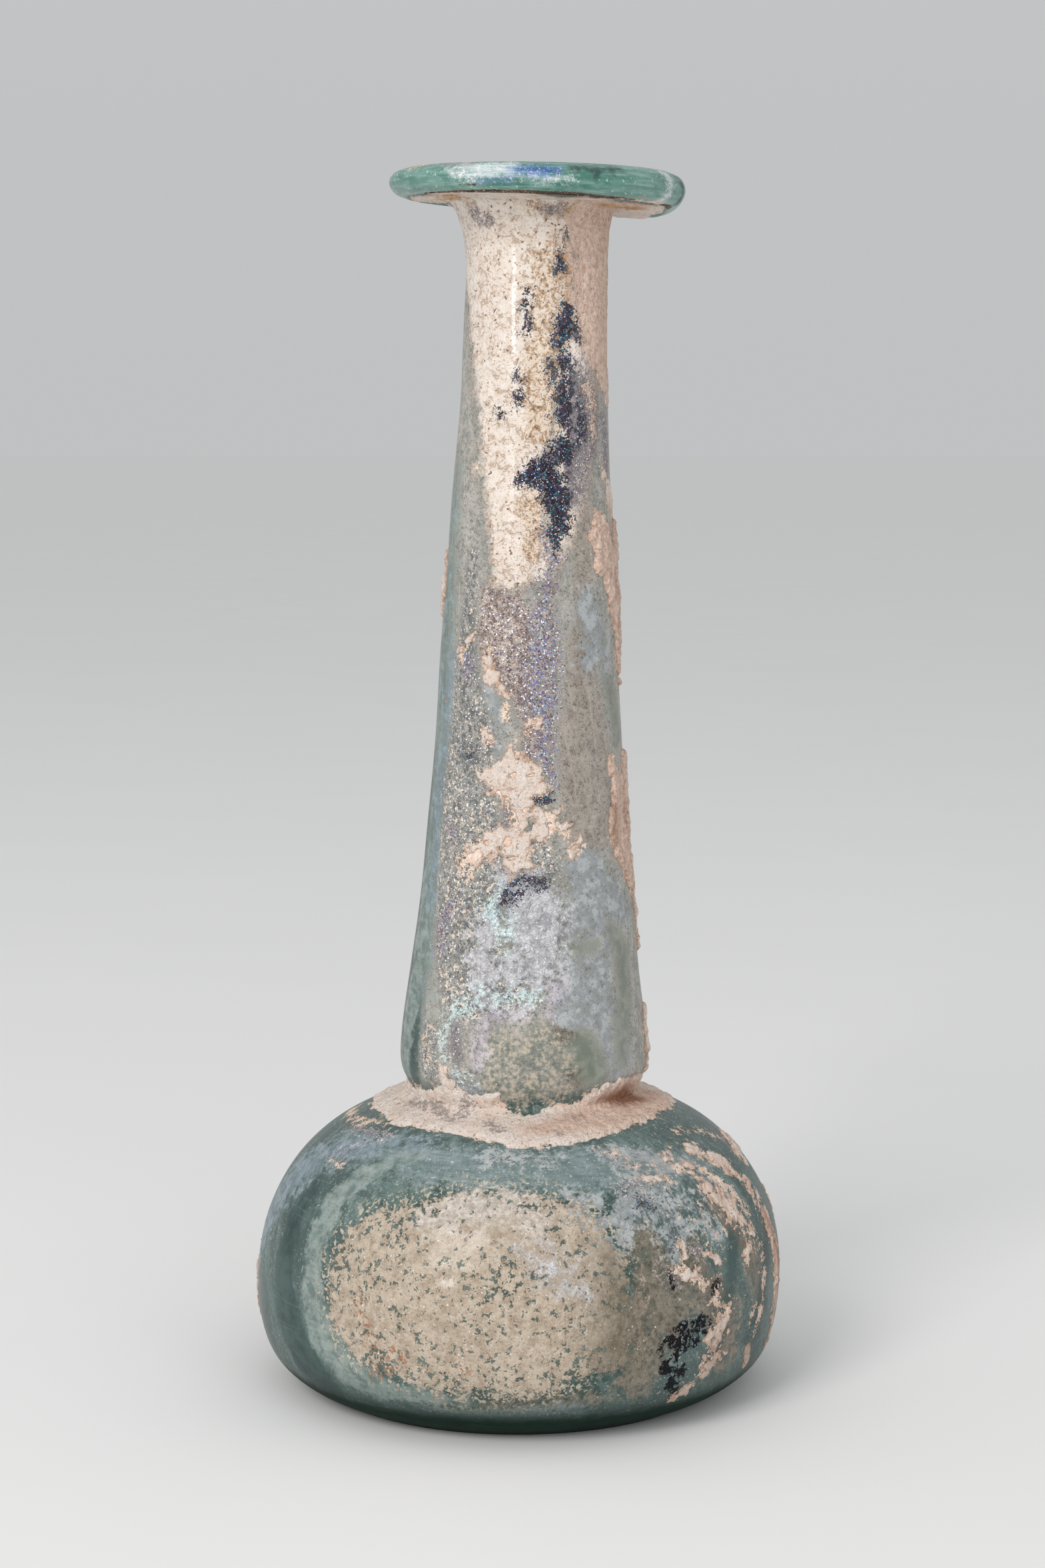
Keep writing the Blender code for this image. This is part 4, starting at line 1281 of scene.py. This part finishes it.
def new_group(name, inputs):
    """A geometry tree with these named inputs, its input node and the identifiers of its inputs."""
    tree = bpy.data.node_groups.new(name, "GeometryNodeTree")
    tree.interface.new_socket("Geometry", in_out="INPUT", socket_type="NodeSocketGeometry")
    tree.interface.new_socket("Geometry", in_out="OUTPUT", socket_type="NodeSocketGeometry")
    kinds = {int: "NodeSocketInt", float: "NodeSocketFloat"}
    names = {}
    for label, value in inputs.items():
        socket = tree.interface.new_socket(label, in_out="INPUT", socket_type=kinds[type(value)])
        socket.default_value = value
        names[label] = socket.identifier
    return tree, tree.nodes.new("NodeGroupInput"), names


def end_group(tree, geometry, material):
    """Ends a tree with Realize Instances and Set Material."""
    real = value_of(tree, "GeometryNodeRealizeInstances", {}, {0: geometry})
    painted = value_of(tree, "GeometryNodeSetMaterial", {}, {"Geometry": real, "Material": material})
    add_node(tree, "NodeGroupOutput", {}, {0: painted})


def run_group(name, source, group, inputs):
    """Runs a tree on a mesh and returns the result as a plain object of this name."""
    tree, _, names = group
    obj = bpy.data.objects.new(name, source)
    bpy.context.scene.collection.objects.link(obj)
    modifier = obj.modifiers.new(name, "NODES")
    modifier.node_group = tree
    for label, value in inputs.items():
        modifier[names[label]] = value
    depsgraph = bpy.context.evaluated_depsgraph_get()
    plain = bpy.data.meshes.new_from_object(obj.evaluated_get(depsgraph))
    obj.modifiers.clear()
    obj.data = plain
    plain.name = name
    return obj


def carried(tree, name):
    """A number that the mesh's points carry under this name."""
    return value_of(tree, "GeometryNodeInputNamedAttribute", {"data_type": "FLOAT"}, {"Name": name})


def lathe_group(material, inputs):
    """Turns an outline, given as a row of points, round the axis. Seam and poles are closed."""
    group = new_group("turned_glass", inputs)
    tree, source, _ = group
    outline = Value(source.outputs["Geometry"])
    segments = Value(source.outputs["Segments"])
    count = value_of(tree, "GeometryNodeAttributeDomainSize", {}, {0: outline}, "Point Count")
    columns = segments + 1
    index = value_of(tree, "GeometryNodeInputIndex")
    share = index / columns
    row = share.math("FLOOR", share + ROUNDING)
    angle = (index % columns) * math.tau / segments

    def of_outline(value, kind):
        values = {"Geometry": outline, "Value": value, "Index": row}
        return value_of(tree, "GeometryNodeSampleIndex", {"data_type": kind}, values)

    place = of_outline(value_of(tree, "GeometryNodeInputPosition"), "FLOAT_VECTOR")
    spot = add_node(tree, "ShaderNodeSeparateXYZ", {}, {0: place})
    radius = Value(spot.outputs["X"])
    x, y = radius * angle.math("SINE", angle), radius * angle.math("COSINE", angle) * -1.0
    spun = value_of(tree, "ShaderNodeCombineXYZ", {}, {0: x, 1: y, 2: Value(spot.outputs["Z"])})
    mesh = value_of(tree, "GeometryNodeMeshGrid", {}, {"Vertices X": count, "Vertices Y": columns}, "Mesh")
    for name in ("run", "inner"):
        values = {"Geometry": mesh, "Name": name, "Value": of_outline(carried(tree, name), "FLOAT")}
        mesh = value_of(tree, "GeometryNodeStoreNamedAttribute", {"data_type": "FLOAT"}, values)
    mesh = value_of(tree, "GeometryNodeSetPosition", {}, {"Geometry": mesh, "Position": spun})
    mesh = value_of(tree, "GeometryNodeMergeByDistance", {}, {0: mesh, "Distance": MERGE})
    end_group(tree, value_of(tree, "GeometryNodeSetShadeSmooth", {}, {0: mesh}), material)
    return group


def scatter_group(name, material, field, shape, inputs):
    """Strews copies of a small shape over a mesh, as densely as a field of the mesh says."""
    group = new_group(name, inputs)
    tree, source, _ = group
    seed = Value(source.outputs["Seed"])
    values = {"Mesh": Value(source.outputs["Geometry"]), "Distance Min": Value(source.outputs["Apart"])}
    values |= {"Density Max": Value(source.outputs["Density"]), "Density Factor": carried(tree, field)}
    values["Seed"] = seed
    spread = add_node(tree, "GeometryNodeDistributePointsOnFaces", {"distribute_method": "POISSON"}, values)

    def random_vector(low, high, seed_offset, scale):
        ends = {0: low, 1: high, "Seed": seed + seed_offset}
        vector = value_of(tree, "FunctionNodeRandomValue", {"data_type": "FLOAT_VECTOR"}, ends)
        scaling = {0: vector, "Scale": Value(source.outputs[scale])}
        return value_of(tree, "ShaderNodeVectorMath", {"operation": "SCALE"}, scaling)

    tilt = random_vector((-1.0, -1.0, -3.14), (1.0, 1.0, 3.14), 2, "Tilt")
    lean = {0: Value(spread.outputs["Rotation"]), 1: tilt}
    values = {
        "Points": Value(spread.outputs["Points"]),
        "Instance": shape(tree),
        "Rotation": value_of(tree, "FunctionNodeRotateRotation", {"rotation_space": "LOCAL"}, lean),
        "Scale": random_vector((0.35, 0.35, 0.2), (1.0, 1.0, 0.7), 1, "Radius"),
    }
    end_group(tree, value_of(tree, "GeometryNodeInstanceOnPoints", {}, values), material)
    return group


def lump(tree):
    """A small round lump of 20 faces."""
    return value_of(tree, "GeometryNodeMeshIcoSphere", {}, {"Radius": 1.0, "Subdivisions": 1}, "Mesh")


def plate(tree):
    """A flat six-sided plate."""
    sizes = {"Vertices": 6, "Radius": 1.0, "Depth": 0.3}
    return value_of(tree, "GeometryNodeMeshCylinder", {"fill_type": "NGON"}, sizes, "Mesh")


# Pieces


def flat_mesh(name, points, faces=()):
    mesh = bpy.data.meshes.new(name)
    mesh.from_pydata([tuple(point) for point in points], (), faces)
    return mesh


def new_object(name, data):
    obj = bpy.data.objects.new(name, data)
    bpy.context.scene.collection.objects.link(obj)
    return obj


def read_places(mesh):
    values = np.zeros(len(mesh.vertices) * 3, np.float32)
    mesh.vertices.foreach_get("co", values)
    return values.reshape(-1, 3).astype(float)


def read_field(mesh, name):
    values = np.zeros(len(mesh.vertices))
    mesh.attributes[name].data.foreach_get("value", values)
    return values


def store(mesh, name, values):
    attribute = mesh.attributes.get(name) or mesh.attributes.new(name, "FLOAT", "POINT")
    attribute.data.foreach_set("value", np.asarray(values, np.float32))


def make_glass(settings):
    """The glass itself, turned from its outline, settled, and with the skins' fields on its points."""
    outline = Outline()
    row = flat_mesh("outline", [(radius, 0.0, height) for radius, height in outline.points])
    store(row, "run", outline.runs_of_points)
    store(row, "inner", outline.is_inside)
    inputs = {"Segments": settings.sizes.segments}
    glass = run_group("glass_flask", row, lathe_group(weathered_glass(settings.colours), inputs), inputs)
    mesh = glass.data
    points = read_places(mesh)
    azimuth = np.degrees(np.arctan2(points[:, 0], -points[:, 1]))
    radius = np.hypot(points[:, 0], points[:, 1])
    run = read_field(mesh, "run")
    all_soil = [stroke for strokes in SOIL.values() for stroke in strokes]
    for name, strokes in (SKINS | {"soil": all_soil}).items():
        store(mesh, name, skin_field(strokes, outline, azimuth, run, radius))
    settled = settle(points, settings.sizes) * MM
    mesh.vertices.foreach_set("co", settled.astype(np.float32).ravel())
    mesh.update()
    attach(glass, "root")
    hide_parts("flask")


def cut_to_field(places, faces, field, values):
    """Keeps the part of a mesh where the field is above 0, cut neatly along its zero line.

    values holds an array for each number that the corners carry, and the cut's new corners get theirs too.
    """
    corners = {name: list(value) for name, value in values.items()} | {"place": list(places)}
    level = list(field)
    made = {}
    kept = []

    def crossing(a, b):
        key = (min(a, b), max(a, b))
        if key not in made:
            share = level[key[0]] / (level[key[0]] - level[key[1]])
            for column in corners.values():
                column.append(column[key[0]] + (column[key[1]] - column[key[0]]) * share)
            level.append(0.0)
            made[key] = len(level) - 1
        return made[key]

    for face in faces:
        inside = [level[corner] > 0 for corner in face]
        if not any(inside):
            continue
        outline = []
        for i, corner in enumerate(face):
            following = (i + 1) % 3
            if inside[i]:
                outline.append(corner)
            if inside[i] != inside[following]:
                outline.append(crossing(corner, face[following]))
        kept += [(outline[0], outline[i], outline[i + 1]) for i in range(1, len(outline) - 1)]
    used, triangles = only_used(np.array(kept))
    return {name: np.array(column)[used] for name, column in corners.items()}, triangles


def only_used(triangles):
    """The corners that some triangles use, and the triangles in terms of those."""
    used, renumbered = np.unique(triangles, return_inverse=True)
    return used, renumbered.reshape(-1, 3)


def soil_grid(strokes, outline):
    """Cells over the strokes: azimuths, runs, and triangles."""
    turns, heights, halves = zip(*(point for stroke in strokes for point in stroke))
    reach = max(halves) + SOIL_MARGIN
    low_run = max(outline.run_at(min(heights)) - reach, outline.run_at(SOIL_FOOT))
    high_run = outline.run_at(max(heights)) + reach
    radii, _ = outline.spot_at(np.linspace(low_run, high_run, 9))
    side = math.degrees(reach / radii.min())
    low_turn = min(turns) - side
    spread = min(max(turns) + side - low_turn, 360.0)
    whole = spread == 360.0
    columns = int(math.radians(spread) * radii.mean() / SOIL_CELL)
    rows = int((high_run - low_run) / SOIL_CELL)
    azimuth = np.linspace(low_turn, low_turn + spread, columns, endpoint=not whole)
    turns, runs = np.meshgrid(azimuth, np.linspace(low_run, high_run, rows))
    index = np.arange(rows * columns).reshape(rows, columns)
    right = np.roll(index, -1, axis=1)
    a, b, c, d = index[:-1], right[:-1], right[1:], index[1:]
    if not whole:
        a, b, c, d = (corner[:, :-1] for corner in (a, b, c, d))
    triangles = [np.stack(corners, -1).reshape(-1, 3) for corners in ((a, b, c), (a, c, d))]
    return turns.ravel(), runs.ravel(), np.concatenate(triangles)


def around_axis(radius, turn, height):
    """Places at these distances from the axis, angles round it and heights."""
    return np.stack([radius * np.sin(turn), -radius * np.cos(turn), height], axis=1)


def make_soil(name, outline, settings, material):
    """One crust: a closed lump whose edge follows its strokes, and whose top is rough."""
    strokes = SOIL[name]
    azimuth, run, triangles = soil_grid(strokes, outline)
    field = skin_field(strokes, outline, azimuth, run, outline.spot_at(run)[0])
    near = field > -SOIL_EDGE_REACH
    used, triangles = only_used(triangles[near[triangles].any(axis=1)])
    azimuth, run, field = azimuth[used], run[used], field[used]
    turn = np.radians(azimuth)
    radius, height = outline.spot_at(run)
    slope_r, slope_z = outline.spot_at(run + SLOPE_STEP) - outline.spot_at(run - SLOPE_STEP)
    slope = np.hypot(slope_r, slope_z)
    place = around_axis(radius, turn, height)
    lumps = roughness_of(place, 0.30, 4)
    ragged = roughness_of(place + NOISE_SHIFT, 1.1, 2)
    ridges = roughness_of(around_axis(TUBE_RADIUS, turn - TWIST * run, run * 0.3), 1.1, 3)
    if name in PITTED:
        holes = (PITTED[name] - roughness_of(place + 2 * NOISE_SHIFT, 0.6, 2)) * 5.0
        field = np.minimum(field + 1.1 * lumps + 1.0 * ragged, holes)
    else:
        field = field + RAGGED.get(name, 0.9) * lumps + 0.6 * ragged
    swell = 1 - np.exp(-np.maximum(field, 0.0) / FEATHERED.get(name, 0.25))
    thick = SOIL_LIFT[name] * swell * (0.8 + 0.3 * lumps + 0.25 * ragged + 0.5 * ridges) + THINNEST_SOIL
    values = {
        "outward": around_axis(slope_z / slope, turn, -slope_r / slope),
        "run": run,
        "thick": np.maximum(thick, THINNEST_SOIL),
        "depth": np.maximum(field, 0.0) if name in THIN_EDGED else np.ones(len(field)),
    }
    for skin in SOIL_TINTS:
        values[skin] = skin_field(SKINS[skin], outline, azimuth, run, radius)
    columns, faces = cut_to_field(place, triangles, field, values)
    count = len(columns["run"])
    top = columns["place"] + columns["outward"] * columns["thick"][:, None]
    bottom = columns["place"] - columns["outward"] * SOIL_SUNK
    solid = np.concatenate([faces, faces[:, ::-1] + count, edge_walls(faces, count)])
    points = settle(np.concatenate([top, bottom]), settings.sizes) * MM
    mesh = flat_mesh(name, points, solid.tolist())
    for label in ("run", "depth", *SOIL_TINTS):
        store(mesh, label, np.tile(columns[label], 2))
    mesh.shade_smooth()
    mesh.materials.append(material)
    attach(new_object(name, mesh), "root")


def edge_walls(faces, count):
    """Triangles that join the open edges of a sheet to a copy of it whose points are count further on."""
    edges = np.concatenate([faces[:, [0, 1]], faces[:, [1, 2]], faces[:, [2, 0]]])
    keys = edges[:, 0] * count + edges[:, 1]
    reverse = edges[:, 1] * count + edges[:, 0]
    first, second = edges[~np.isin(keys, reverse)].T
    walls = ((second, first, first + count), (second, first + count, second + count))
    return np.concatenate([np.stack(corners, 1) for corners in walls])


def strew(name, glass, material, shape, where, inputs):
    """Strews copies of a shape on the outside of the glass.

    where gives skins, the two levels between which the shapes grow dense on each, and how dense they get.
    """
    mesh = glass.data.copy()
    density = [blend(low, high, read_field(mesh, skin)) * share for skin, low, high, share in where]
    outer = read_field(mesh, "inner") < 0.5
    store(mesh, "density", np.clip(np.maximum.reduce(density), 0.0, 1.0) * outer)
    store(mesh, "depth", np.ones(len(outer)))
    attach(run_group(name, mesh, scatter_group(name, material, "density", shape, inputs), inputs), "root")


def make_grains(glass, settings, soil_material):
    """Loose grains of soil round the crusts and on the rough skins."""
    where = (("soil", -1.6, -0.2, 0.12), ("speckle", -0.5, 1.0, 0.14), ("deposit", -2.4, -0.8, 0.06))
    inputs = {"Density": 2.2e6, "Apart": 0.16 * MM, "Radius": settings.sizes.grain, "Seed": 7, "Tilt": 1.0}
    strew("loose_grains", glass, soil_material, lump, where, inputs)


def make_flakes(glass, settings):
    """Glinting flakes on the dark and violet places."""
    where = (("dark", -0.4, 0.8, 1.0), ("violet", -0.4, 1.0, 0.8), ("sparkle", -0.4, 1.2, 0.5))
    inputs = {"Density": 4.0e6, "Apart": 0.2 * MM, "Radius": settings.sizes.flake, "Seed": 11, "Tilt": 0.35}
    strew("glass_flakes", glass, glinting_flake(), plate, where, inputs)


def area_light(name, azimuth, elevation, distance, side, power, colour):
    """A square soft light that faces the flask, from an azimuth and elevation in degrees."""
    light = bpy.data.lights.new(name, "AREA")
    light.size = side
    light.energy = power
    light.color = colour
    turn, rise = math.radians(azimuth), math.radians(elevation)
    across = math.cos(rise)
    spot = Vector((math.sin(turn) * across, -math.cos(turn) * across, math.sin(rise))) * distance
    obj = new_object(name, light)
    obj.location = LIGHTS_AIM + spot
    obj.rotation_euler = (-spot).to_track_quat("-Z", "Y").to_euler()


def soft_room():
    """An even pale room. It is as bright at the horizon as the far floor, and a little brighter overhead."""
    world = bpy.data.worlds.new("soft_room")
    world.use_nodes = True
    tree = world.node_tree
    spot = value_of(tree, "ShaderNodeTexCoord", output="Generated")
    height = value_of(tree, "ShaderNodeSeparateXYZ", {}, {0: spot}, "Z")
    sky = mixed(tree, height.step(0.0, 0.6), ROOM_HORIZON, ROOM_OVERHEAD)
    tree.links.new(sky.socket, tree.nodes["Background"].inputs["Color"])
    return world


def pale_floor():
    reach = FLOOR_REACH
    corners = [(-reach, -reach, 0.0), (reach, -reach, 0.0), (reach, reach, 0.0), (-reach, reach, 0.0)]
    mesh = flat_mesh("floor", corners, [(0, 1, 2, 3)])
    surface = Surface("pale_floor")
    tone = surface.blend(surface.grain(60.0), FLOOR_TONE, tuple(0.97 * channel for channel in FLOOR_TONE))
    values = {"Base Color": tone, "Roughness": 0.9, "Specular IOR Level": 0.0}
    mesh.materials.append(surface.finish(surface.value("ShaderNodeBsdfPrincipled", {}, values)))
    return new_object("floor", mesh)


def make_camera():
    camera = bpy.data.cameras.new("camera")
    camera.lens = CAMERA_LENS
    camera.sensor_width = CAMERA_SENSOR
    camera.clip_start = 0.01
    viewer = new_object("camera", camera)
    viewer.location = CAMERA_PLACE
    viewer.rotation_euler = (math.radians(90.0 - CAMERA_DIP), 0.0, 0.0)
    return viewer


# Operators


class FLASK_OT_glass(bpy.types.Operator):
    """Turn the hollow glass of the flask and give it its weathered finish."""

    bl_idname = "flask.glass"
    bl_label = "Glass"

    def execute(self, context):
        make_glass(context.scene.flask)
        return {"FINISHED"}


class FLASK_OT_soil(bpy.types.Operator):
    """Build the crusts of dried soil on the neck, rim, collar and body."""

    bl_idname = "flask.soil"
    bl_label = "Soil"

    def execute(self, context):
        outline = Outline()
        material = dried_soil(context.scene.flask.colours)
        for name in SOIL:
            make_soil(name, outline, context.scene.flask, material)
        return {"FINISHED"}


class FLASK_OT_grains(bpy.types.Operator):
    """Strew loose grains of soil and glinting flakes over the glass."""

    bl_idname = "flask.grains"
    bl_label = "Grains and flakes"

    def execute(self, context):
        glass = bpy.data.objects.get("glass_flask")
        soil = bpy.data.materials.get("dried_soil")
        if glass is None or soil is None:
            raise RuntimeError("build the glass and the soil before the grains")
        make_grains(glass, context.scene.flask, soil)
        make_flakes(glass, context.scene.flask)
        return {"FINISHED"}


class FLASK_OT_stage(bpy.types.Operator):
    """Set up the pale floor, the soft light and the camera."""

    bl_idname = "flask.stage"
    bl_label = "Stage"

    def execute(self, context):
        scene = context.scene
        scene.view_settings.view_transform = "Standard"
        pale_floor()
        scene.world = soft_room()
        for light in LIGHTS:
            area_light(*light)
        scene.camera = make_camera()
        return {"FINISHED"}


class FLASK_PT_panel(bpy.types.Panel):
    """Lists the steps that build the flask."""

    bl_label = "Ancient glass flask"
    bl_space_type = "VIEW_3D"
    bl_region_type = "UI"
    bl_category = "Flask"

    def draw(self, context):
        settings = context.scene.flask
        for group in (settings.sizes, settings.colours):
            box = self.layout.box()
            for name in group.__annotations__:
                box.prop(group, name)
        for operator in OPERATORS:
            self.layout.operator(operator.bl_idname)


OPERATORS = (FLASK_OT_glass, FLASK_OT_soil, FLASK_OT_grains, FLASK_OT_stage)
CLASSES = (FlaskSizes, FlaskColours, FlaskSettings, *OPERATORS, FLASK_PT_panel)


def register():
    for each in CLASSES:
        bpy.utils.register_class(each)
    bpy.types.Scene.flask = PointerProperty(type=FlaskSettings)


def unregister():
    del bpy.types.Scene.flask
    for each in reversed(CLASSES):
        bpy.utils.unregister_class(each)


def main():
    register()
    bpy.ops.flask.glass()
    bpy.ops.flask.soil()
    bpy.ops.flask.grains()
    bpy.ops.flask.stage()


if __name__ == "__main__":
    main()
